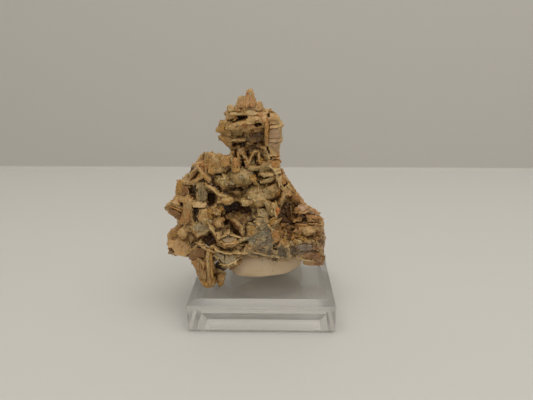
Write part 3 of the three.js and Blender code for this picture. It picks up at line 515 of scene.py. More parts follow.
FLANK = {
    "plane": -10, "grains": 0.35,
    "hollows": [
        (-21.6, 41.3, 1.5, 1.1, 3.4, 10), (-15.6, 38.7, 1.5, 2.2, 5.0, 0),
        (-25.0, 36.9, 0.8, 1.0, 2.0, 0), (-20.8, 33.0, 0.8, 2.0, 3.6, 0),
        (-19.6, 46.8, 0.6, 0.5, 1.6, -35), (-13.0, 42.4, 0.5, 0.7, 1.4, 25),
        (-12.2, 33.2, 1.1, 0.5, 2.4, 10), (-12.4, 37.2, 1.0, 0.4, 2.4, -8)],
    "panels": [
        ((-22.4, 48.4, 0.2), (-20.2, 49.4, 0.6), (-20.4, 45.4, 0.9), (-22.0, 45.2, 0.4), "grey"),
        ((-20.2, 49.0, 0.3), (-18.4, 49.8, 0.4), (-18.4, 47.2, 0.9), (-20.0, 47.6, 0.7), "olive"),
        ((-20.4, 45.3, 0.8), (-18.6, 47.4, 0.9), (-17.8, 46.4, 1.5), (-19.8, 44.3, 1.4), "ochre"),
        ((-18.4, 47.0, 1.0), (-16.5, 45.9, 0.9), (-16.2, 44.4, 1.4), (-18.0, 45.2, 1.5), "ochre"),
        ((-24.3, 44.3, 0.6), (-20.0, 45.1, 0.7), (-19.8, 43.4, 1.5), (-24.2, 43.2, 1.4), "pale"),
        ((-26.2, 44.6, 0.1), (-24.2, 44.4, 0.5), (-24.4, 39.8, 0.7), (-26.4, 40.2, 0.1), "ochre"),
        ((-24.4, 43.2, 1.0), (-22.4, 42.9, 0.5), (-22.4, 39.6, 0.0), (-24.6, 39.6, 0.6), "brown"),
        ((-25.6, 39.8, 0.5), (-21.6, 40.2, 0.5), (-21.6, 38.2, 1.1), (-25.8, 37.4, 1.0), "tan"),
        ((-28.6, 38.4, 0.1), (-26.0, 38.8, 0.5), (-24.8, 36.2, 0.8), (-27.6, 36.6, 0.6), "tan"),
        ((-29.4, 37.1, 0.7), (-25.0, 35.2, 0.8), (-24.6, 34.1, 1.5), (-28.6, 36.0, 1.5), "orange"),
        ((-29.8, 36.4, 0.5), (-25.6, 34.4, 1.2), (-25.6, 31.8, 0.3), (-28.2, 32.6, 0.1), "brown"),
        ((-19.8, 43.8, 0.7), (-17.4, 43.6, 0.9), (-17.3, 37.9, 0.9), (-19.6, 37.6, 0.6), "grey"),
        ((-21.8, 37.5, 0.6), (-17.2, 38.0, 0.7), (-17.0, 35.9, 1.5), (-21.8, 35.8, 1.4), "pale"),
        ((-24.0, 38.0, 0.4), (-22.2, 38.0, 0.8), (-22.6, 30.6, 1.0), (-24.4, 30.6, 0.7), "orange"),
        ((-25.2, 34.4, 0.3), (-24.0, 34.8, 0.8), (-24.2, 30.2, 0.9), (-26.2, 30.4, 0.2), "orange"),
        ((-19.8, 35.4, 0.6), (-17.6, 35.8, 0.7), (-17.4, 31.6, 1.2), (-19.4, 31.2, 1.1), "tan"),
        ((-17.1, 43.3, 1.3), (-15.2, 43.4, 1.6), (-14.6, 40.6, 1.4), (-16.8, 41.2, 1.1), "orange"),
        ((-15.2, 43.4, 1.6), (-11.9, 40.4, 1.7), (-12.6, 39.4, 1.4), (-14.6, 40.6, 1.4), "orange"),
        ((-13.8, 39.7, 0.8), (-10.2, 39.7, 0.9), (-9.2, 38.0, 1.4), (-12.6, 38.3, 1.5), "ochre"),
        ((-12.6, 38.4, 1.4), (-9.2, 38.2, 1.4), (-10.0, 37.2, 0.9), (-11.6, 37.4, 0.9), "ochre"),
        ((-14.2, 32.6, 0.6), (-12.9, 32.8, 0.8), (-11.6, 29.0, 1.3), (-14.4, 29.0, 1.3), "tan")],
    "blades": [
        ([(-17.1, 43.6, 1.6), (-15.3, 43.6, 1.9), (-13.6, 41.8, 1.9), (-11.8, 40.5, 1.8)],
         (-0.4, 3, -1.2), 0.5, "pale"),
        ([(-25.8, 44.3, 0.3), (-26.0, 41.8, 0.5), (-25.9, 39.4, 0.3)], (2, 3, 0), 0.8, "ochre"),
        ([(-22.4, 48.5, 0.5), (-22.2, 46.8, 0.8), (-21.9, 45.1, 0.6)], (0.8, 3, 0), 0.7, "tan"),
        ([(-19.1, 43.2, 0.9), (-19.1, 38.6, 0.8)], (0, 2, 0), 0.4, "grey"),
        ([(-18.2, 43.2, 1.0), (-18.2, 38.4, 1.0)], (0, 2, 0), 0.4, "grey"),
        ([(-14.8, 36.0, 1.1), (-13.7, 37.0, 1.3), (-13.2, 38.4, 1.0)], (0, 3, 0), 1.0, "tan")],
    "clumps": [(-21.8, 41.2, -4.5, 5.0, "brown"), (-25.4, 37.2, -3.6, 4.0, "brown"),
              (-20.6, 33.0, -5.0, 4.6, "brown"), (-16.2, 37.6, -2.4, 2.6, "brown"),
              (-13.0, 35.6, 1.0, 2.0, "ochre"), (-12.2, 34.6, 0.9, 1.6, "ochre"),
              (-13.6, 34.2, 1.0, 1.6, "tan"), (-14.6, 35.4, 0.8, 1.6, "tan"),
              (-15.8, 34.6, 0.7, 1.6, "ochre"), (-16.4, 33.0, 0.7, 1.6, "ochre"),
              (-15.2, 33.0, 0.8, 1.4, "ochre"), (-17.4, 33.6, 0.8, 1.2, "tan"),
              (-15.4, 31.6, 0.8, 1.4, "ochre"), (-16.4, 31.4, 0.9, 1.2, "pale")]}
LOWER_LEFT = {
    "plane": -14, "grains": 0.15,
    "hollows": [
        (-15.8, 26.6, 2.2, 2.3, 4.4, 35),
        (-13.7, 29.3, 0.4, 1.5, 2.4, 40), (-18.8, 22.2, 1.2, 1.6, 1.6, 0),
        (-12.9, 18.0, 2.0, 2.2, 3.6, 15), (-10.6, 29.3, 1.3, 0.6, 3.4, 8),
        (-7.8, 28.2, 0.5, 0.5, 3.0, 0)],
    "panels": [
        ((-29.0, 27.0, 0.6), (-21.8, 27.6, -0.2), (-21.8, 21.4, 0.0), (-28.4, 20.6, 0.7), "shell"),
        # the bronze faces here sit in a recess: their dark brown is partly painted shade
        ((-24.2, 27.4, 0.2), (-19.8, 26.8, -1.6), (-20.4, 23.0, -0.8), (-23.6, 22.4, 0.3), "bronze"),
        ((-26.2, 30.2, 0.5), (-23.0, 29.6, 0.9), (-23.2, 26.2, 1.3), (-25.4, 25.6, 1.1), "tan"),
        ((-27.2, 30.2, 0.1), (-25.4, 30.6, 0.5), (-25.8, 27.6, 0.6), (-28.8, 27.4, 0.1), "shell"),
        ((-20.2, 24.6, 1.4), (-17.4, 23.4, 1.2), (-17.6, 20.6, 0.2), (-21.6, 21.6, 0.6), "bronze"),
        ((-23.2, 21.4, 0.9), (-20.4, 24.0, 1.3), (-20.0, 20.2, 0.6), (-22.0, 20.2, 0.5), "bronze"),
        ((-22.4, 20.2, 0.5), (-19.2, 20.0, 0.9), (-18.6, 16.0, 0.9), (-20.8, 16.6, 0.4), "orange"),
        ((-20.6, 16.8, 0.4), (-17.2, 17.6, 0.8), (-17.2, 13.6, 0.9), (-19.0, 13.6, 0.4), "tan"),
        ((-20.4, 19.2, 1.0), (-19.4, 19.4, 1.2), (-19.6, 16.6, 1.2), (-20.2, 16.6, 0.8), "tan"),
        ((-17.0, 23.4, 1.9), (-16.3, 23.4, 2.1), (-16.4, 13.2, 1.9), (-17.1, 13.2, 1.7), "tan"),
        ((-16.0, 23.0, 2.1), (-15.2, 23.0, 1.9), (-15.2, 13.4, 1.7), (-16.0, 13.4, 1.9), "ochre"),
        ((-18.6, 13.8, 0.8), (-14.9, 13.8, 1.0), (-15.4, 10.9, 0.9), (-18.2, 11.0, 0.6), "ochre"),
        ((-14.2, 15.2, 0.6), (-12.5, 15.0, 0.6), (-12.2, 11.4, 0.8), (-14.0, 11.3, 0.8), "ochre"),
        ((-19.3, 25.6, 1.7), (-17.2, 24.9, 1.8), (-17.4, 23.6, 2.2), (-18.6, 24.0, 2.1), "pale"),
        ((-14.6, 22.4, 1.4), (-11.2, 22.0, 1.5), (-11.4, 18.4, 2.1), (-13.2, 20.4, 2.0), "grey"),
        ((-11.2, 22.0, 1.5), (-7.4, 21.5, 1.2), (-8.4, 19.4, 1.8), (-11.4, 18.2, 2.1), "grey"),
        ((-9.6, 19.2, 0.2), (-7.0, 20.0, 0.4), (-8.2, 17.2, 0.2), (-10.4, 16.6, 0.0), "brown"),
        ((-14.6, 17.6, 0.3), (-11.0, 16.2, 0.2), (-11.6, 14.2, 0.3), (-14.4, 15.2, 0.4), "olive"),
        ((-20.8, 31.6, 0.6), (-17.0, 32.0, 0.7), (-15.6, 29.8, 1.4), (-20.0, 29.6, 1.3), "grey"),
        ((-22.2, 31.5, 0.9), (-20.0, 30.8, 1.1), (-20.0, 30.1, 1.6), (-22.0, 30.6, 1.4), "pale"),
        ((-21.0, 29.8, 1.2), (-16.4, 29.6, 1.5), (-18.4, 27.4, 0.9), (-20.6, 27.4, 0.8), "orange"),
        ((-15.4, 30.4, 1.6), (-14.5, 30.0, 1.7), (-12.3, 25.0, 1.7), (-13.4, 25.0, 1.6), "tan"),
        ((-12.6, 27.4, 1.2), (-8.6, 27.8, 1.2), (-8.8, 25.8, 1.0), (-11.8, 25.8, 1.1), "grey")],
    "blades": [
        ([(-24.0, 21.6, 1.2), (-22.5, 22.5, 1.7), (-21.0, 23.5, 1.9), (-20.0, 25.0, 1.9),
          (-19.6, 26.6, 1.6)], (1, 4, -1), 0.6, "tan"),
        ([(-19.3, 25.6, 1.9), (-17.6, 25.0, 2.1), (-15.4, 24.2, 2.2), (-13.5, 23.0, 2.2),
          (-11.5, 22.3, 2.2), (-9.5, 21.8, 2.0), (-7.3, 21.9, 1.5)], (0, 4.5, -0.8), 0.7, "pale"),
        ([(-14.9, 21.5, 1.9), (-13.6, 20.4, 2.2), (-12.6, 19.2, 2.2), (-11.8, 18.0, 2.1),
          (-10.3, 18.0, 2.0), (-8.4, 19.2, 1.8), (-6.8, 20.8, 1.4)], (0.2, 2.4, 0.9), 0.6, "pale"),
        ([(-16.5, 31.7, 1.5), (-15.2, 30.0, 1.8), (-14.2, 28.5, 1.8), (-13.4, 26.8, 1.8),
          (-12.6, 25.2, 1.5)], (0.5, 4, -0.5), 0.5, "pale"),
        ([(-12.9, 26.9, 1.2), (-12.0, 27.9, 1.5), (-11.0, 28.2, 1.5), (-9.7, 28.9, 1.5),
          (-8.8, 28.4, 1.4), (-7.2, 27.4, 1.0)], (0, 3, -0.4), 0.8, "pale"),
        ([(-12.7, 25.9, 1.2), (-11.5, 25.3, 1.4), (-9.0, 25.5, 1.4)], (0, 3, 0), 0.7, "ochre"),
        ([(-13.0, 24.7, 1.2), (-11.0, 24.3, 1.4), (-9.0, 24.5, 1.4), (-7.5, 24.9, 1.2),
          (-5.4, 25.4, 1.0)], (0, 3, -0.4), 0.9, "ochre"),
        ([(-10.6, 23.4, 1.2), (-8.6, 23.4, 1.3), (-7.2, 22.8, 1.1)], (0, 3, -0.4), 0.9, "tan")],
    "clumps": [(-18.7, 21.8, -3.8, 4.6, "brown"), (-12.9, 18.0, -4.6, 5.0, "brown"),
              (-13.6, 15.4, -4.0, 4.4, "brown"), (-8.0, 22.0, -3.0, 4.0, "brown"),
              (-17.3, 12.0, 0.8, 1.8, "ochre"), (-13.2, 12.4, 0.8, 1.4, "ochre"),
              (-14.6, 24.4, -1.2, 2.4, "brown")]}
CENTRE = {
    "plane": -11, "grains": 0.4,
    "hollows": [
        (-8.8, 36.4, 3.8, 1.9, 4.4, 8), (-4.7, 35.1, 1.9, 1.7, 4.4, -15),
        (-3.3, 31.3, 1.3, 0.7, 4.0, 25), (-11.3, 31.4, 0.9, 1.0, 3.0, 20),
        (-4.8, 28.9, 0.3, 1.6, 2.4, 0), (4.0, 23.4, 0.8, 0.8, 3.0, 0),
        (4.2, 29.7, 0.9, 0.5, 1.6, 0), (7.4, 35.2, 2.0, 4.0, 3.4, 0),
        (5.2, 32.6, 0.6, 2.0, 3.4, 0), (6.6, 26.8, 0.5, 0.9, 1.6, 0),
        (-3.8, 23.6, 0.4, 0.3, 0.6, 0), (-2.6, 22.4, 0.7, 0.25, 0.6, -20)],
    "panels": [
        ((-11.2, 34.6, 0.1), (-6.4, 31.6, 0.4), (-6.5, 30.2, 1.2), (-10.6, 33.0, 1.0), "tan"),
        ((-10.4, 32.8, 1.0), (-6.5, 30.2, 1.2), (-6.6, 28.0, 0.5), (-8.6, 29.6, 0.3), "brown"),
        ((-6.2, 31.4, 0.6), (-5.2, 31.4, 0.8), (-5.2, 26.4, 1.0), (-6.4, 26.6, 0.8), "olive"),
        ((-4.4, 30.4, 0.9), (-2.2, 30.6, 1.0), (-2.4, 27.4, 1.4), (-4.4, 27.0, 1.1), "ochre"),
        ((-6.8, 37.9, 0.8), (-4.4, 38.8, 0.9), (-4.2, 36.8, 1.5), (-6.6, 36.6, 1.4), "pale"),
        ((-4.4, 39.0, 0.9), (-1.6, 38.6, 1.0), (-1.4, 35.6, 1.3), (-3.6, 36.4, 1.1), "olive"),
        ((0.2, 38.6, 0.8), (2.6, 37.8, 0.9), (4.2, 33.8, 1.5), (2.0, 33.6, 1.3), "olive"),
        ((-1.6, 36.4, 0.8), (2.0, 35.8, 0.9), (2.4, 32.8, 1.4), (-1.6, 33.4, 1.3), "olive"),
        ((2.2, 33.0, 1.4), (4.4, 33.6, 1.4), (3.9, 30.8, 1.0), (2.6, 30.6, 1.1), "ochre"),
        ((-5.4, 34.4, -0.8), (-3.0, 35.0, -0.2), (-2.8, 32.0, 0.4), (-5.4, 31.6, 0.0), "brown"),
        ((2.6, 30.0, 1.0), (5.4, 28.8, 1.1), (5.6, 25.2, 1.4), (3.8, 24.6, 1.4), "amber"),
        ((-7.2, 26.2, 0.9), (-4.4, 26.8, 1.0), (-4.6, 25.4, 1.4), (-7.2, 25.2, 1.3), "pale"),
        ((3.4, 41.6, 0.6), (6.6, 41.4, 0.9), (5.6, 36.6, 1.2), (3.2, 37.8, 0.8), "amber")],
    "blades": [
        ([(2.8, 37.5, 1.4), (3.2, 35.8, 1.6), (4.4, 33.8, 1.7), (4.2, 32.2, 1.6),
          (3.7, 31.0, 1.4)], (0.6, 4, -0.2), 0.6, "pale"),
        ([(2.3, 30.8, 1.2), (2.4, 29.8, 1.4), (3.2, 28.9, 1.4)], (0.3, 3, 0), 0.7, "pale"),
        ([(-2.0, 33.6, 0.9), (-2.1, 32.0, 1.2), (-1.8, 30.7, 1.0)], (0.6, 3, 0), 0.7, "pale"),
        ([(-4.5, 29.8, 1.2), (-3.6, 30.7, 1.4), (-2.6, 30.5, 1.4)], (0, 3, 0), 0.7, "pale"),
        ([(-8.2, 35.0, -2.4), (-7.6, 33.2, -2.2)], (0, 3, 0), 1.0, "orange")],
    "clumps": [(-5.4, 37.7, 1.0, 1.4, "pale"), (-4.2, 32.6, -0.6, 2.6, "brown"),
              (-3.2, 28.4, 1.0, 1.4, "ochre"), (4.6, 26.4, 1.0, 1.6, "amber"),
              (7.2, 26.2, 0.6, 1.4, "ochre"), (-7.6, 29.6, 0.2, 2.0, "tan"),
              (4.6, 35.6, 1.1, 1.5, "amber")],
    "beads": [(4.8, 35.6, 2.6, 1.6, "resin"), (4.6, 34.5, 2.3, 1.1, "resin")]}
RIGHT = {
    "plane": -10, "grains": 0.4,
    "hollows": [
        (9.4, 31.2, 1.2, 1.0, 4.0, 0), (12.4, 31.3, 2.2, 0.4, 3.0, 0),
        (10.0, 28.9, 1.6, 0.5, 3.0, 5), (13.4, 32.4, 1.3, 0.5, 2.6, 0),
        (17.0, 22.0, 0.7, 0.6, 1.4, 0),
        (17.8, 19.8, 0.5, 0.3, 0.8, 0), (11.2, 20.0, 0.4, 0.4, 0.8, 0),
        (9.0, 22.9, 0.6, 0.4, 1.0, 0)],
    "panels": [
        ((10.6, 37.6, 0.4), (13.0, 38.0, 0.1), (15.0, 35.2, 0.5), (11.6, 35.0, 1.0), "pink"),
        ((14.8, 35.2, 0.1), (17.2, 35.0, 0.0), (18.0, 32.9, 0.5), (14.6, 33.7, 0.9), "pink"),
        ((13.4, 34.1, 0.7), (18.2, 33.1, 0.2), (18.6, 32.2, 0.7), (14.0, 32.8, 1.3), "orange"),
        ((10.2, 31.0, 0.9), (14.4, 30.8, 0.9), (14.2, 30.1, 1.5), (10.0, 30.1, 1.5), "orange"),
        ((14.8, 31.2, 0.6), (18.8, 31.3, 0.1), (19.2, 28.4, 0.4), (15.2, 28.6, 1.2), "tan"),
        ((15.4, 28.6, 0.9), (19.3, 28.4, 0.2), (19.0, 25.2, 0.4), (15.6, 25.6, 1.1), "orange"),
        ((11.4, 29.8, 0.8), (14.8, 29.9, 0.8), (15.2, 26.6, 1.3), (11.8, 27.0, 1.3), "tan"),
        ((9.0, 28.3, 0.6), (12.0, 28.1, 0.8), (12.2, 26.2, 1.3), (9.4, 26.4, 1.1), "ochre"),
        ((6.4, 29.6, 0.8), (7.8, 29.0, 1.1), (8.2, 26.6, 1.2), (6.8, 26.8, 0.9), "tan"),
        ((11.0, 24.0, 0.9), (15.8, 23.8, 0.9), (16.0, 21.8, 0.6), (11.2, 21.6, 0.6), "slate"),
        ((16.0, 25.0, 0.9), (19.0, 24.6, 0.3), (19.2, 21.6, 0.4), (16.2, 21.8, 1.0), "brown"),
        ((13.0, 21.4, 1.0), (19.2, 21.2, 0.5), (19.4, 18.4, 0.2), (13.4, 18.8, 0.7), "brown"),
        ((7.6, 44.6, 0.2), (9.2, 43.6, 0.0), (10.8, 40.6, 0.4), (8.0, 41.0, 0.9), "amber"),
        ((8.4, 41.0, 0.7), (11.2, 40.4, 0.1), (11.8, 38.4, 0.4), (9.6, 38.2, 0.9), "orange"),
        ((12.6, 19.0, 0.8), (17.0, 18.8, 0.6), (17.0, 16.7, 0.3), (13.0, 17.0, 0.5), "tan"),
        ((16.4, 19.6, 0.7), (19.8, 19.6, 0.2), (19.7, 16.8, 0.1), (16.6, 16.7, 0.4), "brown")],
    "blades": [
        ([(15.0, 30.8, 1.2), (17.0, 30.7, 1.3), (18.4, 30.6, 0.9)], (0, 3, -0.3), 0.7, "orange"),
        ([(-7.0, 21.0, 0.7), (-3.0, 21.0, 0.8), (0.0, 20.4, 0.8), (3.0, 19.6, 0.8),
          (5.0, 19.2, 0.8)], (0, 2, 0.4), 0.8, "moss"),
        ([(5.0, 19.2, 0.8), (8.0, 19.1, 0.9), (11.0, 18.9, 0.9), (13.0, 18.5, 0.9),
          (16.0, 18.1, 0.9), (18.4, 18.5, 0.7)], (0, 2, 0.4), 0.9, "moss")],
    "clumps": [(12.6, 36.4, 0.5, 2.2, "pink"), (11.0, 38.8, 0.2, 1.4, "amber"),
              (10.8, 35.2, 0.4, 1.8, "orange"), (6.8, 32.2, -1.6, 2.4, "brown"),
              (8.2, 31.4, -1.2, 1.8, "brown"), (11.8, 33.6, 0.6, 1.6, "orange"),
              (9.6, 25.9, 0.8, 1.4, "ochre"), (10.8, 26.2, 0.8, 1.3, "ochre"),
              (12.4, 25.8, 0.9, 1.5, "ochre"), (10.4, 24.8, 0.8, 1.5, "ochre"),
              (9.0, 24.4, 0.7, 1.2, "tan"), (13.5, 25.6, 0.9, 1.2, "ochre"),
              (11.6, 24.9, 0.9, 1.0, "pale"), (17.6, 27.6, 0.5, 2.0, "orange"),
              (15.8, 19.6, 0.7, 1.6, "brown"), (16.2, 33.4, 0.5, 2.6, "pink"),
              (17.7, 31.8, 0.2, 2.2, "tan"), (14.8, 32.2, 0.7, 1.8, "tan"),
              (18.2, 29.6, 0.2, 2.2, "pink"), (16.6, 29.4, 0.6, 2.2, "tan"),
              (13.2, 28.4, 0.9, 2.0, "tan"), (16.6, 25.8, 0.7, 2.0, "orange"),
              (18.4, 26.4, 0.2, 2.0, "pink"), (12.0, 37.2, 0.3, 1.8, "pink"),
              (15.4, 35.0, 0.4, 2.2, "pink"), (9.8, 37.4, 0.6, 1.8, "tan"),
              # brown lumps sunk in the dark hollow: their brown is partly painted shade
              (8.6, 34.6, -1.2, 3.0, "brown"), (9.2, 32.6, -0.6, 2.4, "brown"),
              (7.6, 37.0, -1.2, 2.6, "brown"), (10.6, 33.2, 0.0, 1.8, "amber")]}
REGIONS = [HEAD, NECK, FLANK, LOWER_LEFT, CENTRE, RIGHT]


# The smooth plates of the worked face: centre and half sizes in mm.
SMOOTH = (
    ((-26.5, -12, 25), (4.5, 8, 6)),
    ((4, -7, 59), (3.5, 6, 6)),
    ((-4, -6, 68), (4, 6, 4)),
    ((-7, -8, 64.5), (5, 6, 3)),
    ((-14.5, -14, 41), (3.5, 4, 3)),
    ((-27, -10, 35), (3.5, 6, 3)),
    ((-21, -8, 46), (4, 6, 4)),
    ((-16, -16, 18.5), (2.6, 4, 6)),
)
LEAST_COARSE = 0.2

# In mm, unless a count or a share. A pair is a lowest and a highest.
CRUST_SEED = 5
CRUST_PLATES = 700
CRUST_GRAINS = 2200
CRUST_DRIFT = 9  # the way over which the plates' direction changes
CRUST_LENGTHS = (1.4, 3.6)
CRUST_RISES = (0.2, 0.9)
CRUST_ROOT = 1.2
CRUST_THICKNESS = (0.4, 0.7)
CRUST_GRAIN_SIZES = (0.4, 1.0)
FACE_BARE = 0.65  # share of the worked face's plates left out

# In metres, unless a count or said otherwise.
CELL = 0.24 * MM
BLOCKS_WIDE, BLOCKS_PUSHED = 1.3 * MM, 0.36 * MM
GRAINS_WIDE, GRAINS_PUSHED = 0.6 * MM, 0.24 * MM
CROOKED_WIDE, CROOKED_PUSHED = 7 * MM, 0.4 * MM
MOST_TRIANGLES = 197000
SETTLING_ROUNDS = 6
TRIM_ABOVE = 20 * MM
TRIM_REACH = (0.15, 1.1)  # mm that may stand past the outline, from spot to spot
TRIM_STEP = 1.1  # mm from one spot to the next
BOX_SLACK = 0.15 * MM
OPEN_RAYS = 10
OPEN_WAYS = 64
OPEN_START = 0.15  # mm off the surface
OPEN_REACH = 9 * MM


def surface_spots(piece, count, seed):
    """Spots spread over a surface by area: place in mm and outward direction."""
    pick = random.Random(seed)
    faces = piece.data.polygons
    weights = [face.area for face in faces]
    spots = []
    for index in pick.choices(range(len(faces)), weights, k=count):
        face = faces[index]
        corners = [piece.data.vertices[v].co for v in face.vertices[:3]]
        a, b = sorted((pick.random(), pick.random()))
        place = corners[0] * a + corners[1] * (b - a) + corners[2] * (1 - b)
        spots.append((place / MM, face.normal.copy()))
    return spots


def on_smooth(place, outward):
    """Whether a place lies on one of the smooth plates of the worked face."""
    return outward.y < 0.2 and any(
        sum(((place[axis] - centre[axis]) / radii[axis]) ** 2 for axis in range(3)) < 1
        for centre, radii in SMOOTH)


def crust(stone, seed):
    """Plates and grains grown all over the stone, fewer plates on its worked face."""
    pick = random.Random(seed)
    noise.seed_set(seed)
    made = []
    for place, outward in surface_spots(stone, CRUST_PLATES, seed):
        if on_smooth(place, outward) or (outward.y < -0.25 and pick.random() < FACE_BARE):
            continue
        drift = noise.noise_vector(Vector(place) / CRUST_DRIFT)
        wander = Vector([pick.uniform(-1, 1) for _ in range(3)])
        across = outward.cross(drift.normalized() + wander * 0.5).normalized()
        lean = (outward + across.cross(outward) * pick.uniform(-0.9, 0.9)).normalized()
        length = pick.uniform(*CRUST_LENGTHS)
        rise = pick.uniform(*CRUST_RISES)
        if abs(outward.y) < 0.4:
            # lower and shorter at the outline
            length, rise = length * 0.7, rise * 0.6
        rim = place + lean * rise
        matrix = chip_matrix(rim - across * length / 2, rim + across * length / 2,
                             -lean * (rise + CRUST_ROOT), pick.uniform(*CRUST_THICKNESS))
        made.append(sown(pick.choice(CHIPS), matrix))
    for place, outward in surface_spots(stone, CRUST_GRAINS, seed + 1):
        if on_smooth(place, outward):
            continue
        size = pick.uniform(*CRUST_GRAIN_SIZES)
        made.append(knob(place, (size, size * pick.uniform(0.6, 1), size * pick.uniform(0.5, 0.9))))
    return made


def coarseness(stone):
    """Mark how coarsely each point of the stone is broken up, from 0.2 on smooth plates to 1."""
    place = triples(stone.data.vertices, "co") / MM
    coarse = np.ones(len(place))
    for centre, radii in SMOOTH:
        reach = np.sqrt((((place - centre) / radii) ** 2).sum(1))
        coarse = np.minimum(coarse, np.clip(2.2 * reach - 1.4, LEAST_COARSE, 1))
    group = stone.vertex_groups.new(name="coarse")
    for tenth in range(round(LEAST_COARSE * 10), 11):
        chosen = np.flatnonzero(np.round(coarse * 10) == tenth)
        group.add(chosen.tolist(), tenth / 10, "REPLACE")


def proud_parts(stone):
    """Record on each point of the stone how far it stands proud of its neighbours, in mm."""
    mesh = stone.data
    count = len(mesh.vertices)
    place = triples(mesh.vertices, "co") / MM
    outward = triples(mesh.vertices, "normal")
    edges = np.empty(len(mesh.edges) * 2, np.int64)
    mesh.edges.foreach_get("vertices", edges)
    first, second = edges.reshape(-1, 2).T
    near = np.bincount(first, minlength=count) + np.bincount(second, minlength=count)
    settled = place
    for _ in range(SETTLING_ROUNDS):
        settled = np.stack([np.bincount(first, settled[second, axis], count)
                            + np.bincount(second, settled[first, axis], count)
                            for axis in range(3)], 1) / near[:, None]
    ridge = ((place - settled) * outward).sum(1)
    mark(stone, "ridge", ridge.astype(np.float32))


def held_in(stone, bare):
    """Draw back what stands out past the bare stone's outline, as seen from the front."""
    place = triples(stone.data.vertices, "co")
    low, high = TRIM_REACH
    for index in np.flatnonzero(place[:, 2] > TRIM_ABOVE):
        spot = Vector(place[index])
        if bare.ray_cast(CAMERA_PLACE, (spot - CAMERA_PLACE).normalized())[0] is None:
            nearest = bare.find_nearest(spot)[0]
            gap = (spot - nearest).length
            reach = (low + (high - low) * noise.cell(spot / MM / TRIM_STEP)) * MM
            if gap > reach:
                place[index] = nearest + (spot - nearest) * reach / gap
    stone.data.vertices.foreach_set("co", place.ravel())


def kept_in_box(stone, lowest, highest):
    """Hold every point inside the bare stone's own box, give or take a little."""
    place = triples(stone.data.vertices, "co")
    place = np.clip(place, lowest - BOX_SLACK, highest + BOX_SLACK)
    stone.data.vertices.foreach_set("co", place.ravel())


def covered_parts(stone):
    """Record on each point of the stone how open it lies, from 0 in a deep hole to 1."""
    mesh = stone.data
    tree = skin(stone)
    pick = random.Random(3)
    ways = [any_way(pick) for _ in range(OPEN_WAYS)]
    opened = np.zeros(len(mesh.vertices))
    for index, vertex in enumerate(mesh.vertices):
        normal = vertex.normal
        start = vertex.co + vertex.normal * OPEN_START * MM
        free = 0
        for step in range(OPEN_RAYS):
            ray = (ways[(index * 7 + step * 5) % OPEN_WAYS] + normal).normalized()
            if tree.ray_cast(start, ray, OPEN_REACH)[0] is None:
                free += 1
        opened[index] = free / OPEN_RAYS
    mark(stone, "open", opened.astype(np.float32))


def worked_pieces(stone):
    """The hollows to cut and the pieces to grow on the stone's face, region by region."""
    cut, grown = [], []
    for region in REGIONS:
        face = Face(stone, region["plane"])
        cut += [hollow(face, *numbers) for numbers in region["hollows"]]
        for *corners, tint in region["panels"]:
            level = sum(corner[2] for corner in corners) / 4
            leaning = [(x, z, level + (rise - level) * PANEL_LEAN) for x, z, rise in corners]
            grown += tinted(panel(face.rim(leaning), PANEL_THICK, region["grains"]), tint)
        for points, back, thick, tint in region["blades"]:
            grown += tinted(blade(face.rim(points), Vector(back), thick * BLADE_SLIM), tint)
        for x, z, rise, size, tint in region["clumps"]:
            place, = face.rim([(x, z, rise - size / 2)])
            grown += tinted(clump(place, size), tint)
        for x, z, rise, size, tint in region.get("beads", ()):
            # its depth is that of the crest to its left, not of the recess behind it
            crest = [(x - size, z, rise), (x - size, z - size, rise)]
            place, *_ = face.rim([(x, z, rise - size / 2)] + crest)
            grown += tinted([bead(place, size)], tint)
    return cut, grown


def quartz_stone():
    """The bare stone hollowed out, overgrown with blades and crust, and broken up."""
    stone = copy_of_node("pseudomorph", "quartz_stone")
    corners = triples(stone.data.vertices, "co")
    lowest, highest = corners.min(0), corners.max(0)
    bare = skin(stone)
    cut, grown = worked_pieces(stone)
    recast(stone, CELL)
    hollows = joined(cut, "hollows")
    recast(hollows, CELL)
    apply(stone, "BOOLEAN", operation="DIFFERENCE", object=hollows, solver="MANIFOLD")
    bpy.data.objects.remove(hollows)
    recast(stone, CELL)
    grown += crust(stone, CRUST_SEED)
    coarseness(stone)
    pushed_about(stone, broken("blocks", BLOCKS_WIDE), BLOCKS_PUSHED,
                 direction="RGB_TO_XYZ", vertex_group="coarse")
    pushed_about(stone, broken("grains", GRAINS_WIDE), GRAINS_PUSHED, direction="RGB_TO_XYZ")
    taken = sum(triangles(piece) for piece in grown)
    apply(stone, "DECIMATE", ratio=min(1, (MOST_TRIANGLES - taken) / triangles(stone)))
    proud_parts(stone)
    stone = joined([stone] + grown, "quartz_stone")
    pushed_about(stone, clouds("crooked", CROOKED_WIDE, coloured=True), CROOKED_PUSHED,
                 direction="RGB_TO_XYZ")
    held_in(stone, bare)
    kept_in_box(stone, lowest, highest)
    only(stone)
    bpy.ops.object.shade_flat()
    covered_parts(stone)
    coat(stone, stone_material())
    return stone


# ---------------------------------------------------------------- the other pieces

PUTTY_CELL = 0.5 * MM
PUTTY_SMOOTHING = 10
DENTS_WIDE, DENTS_DEEP = 5 * MM, 0.5 * MM


def pressed_putty():
    """The lump of putty, softened and dented by thumbs."""
    putty = copy_of_node("mounting_putty", "pressed_putty")
    recast(putty, PUTTY_CELL, smooth=True)
    apply(putty, "SMOOTH", factor=0.5, iterations=PUTTY_SMOOTHING)
    pushed_about(putty, clouds("thumbed", DENTS_WIDE), DENTS_DEEP)
    only(putty)
    bpy.ops.object.shade_smooth()
    coat(putty, putty_material())
    return putty


def dress_node(node, material):
    """Show a CAD node as it is, in a material."""
    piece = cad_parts[node]
    piece.data.materials.clear()
    piece.data.materials.append(material)


# ---------------------------------------------------------------- the finishes

def rgb(red, green, blue):
    """A colour as it looks on a screen, 0 to 255, made linear."""
    return tuple(((c / 255 + 0.055) / 1.055) ** 2.4 if c > 10 else c / 3294
                 for c in (red, green, blue)) + (1,)


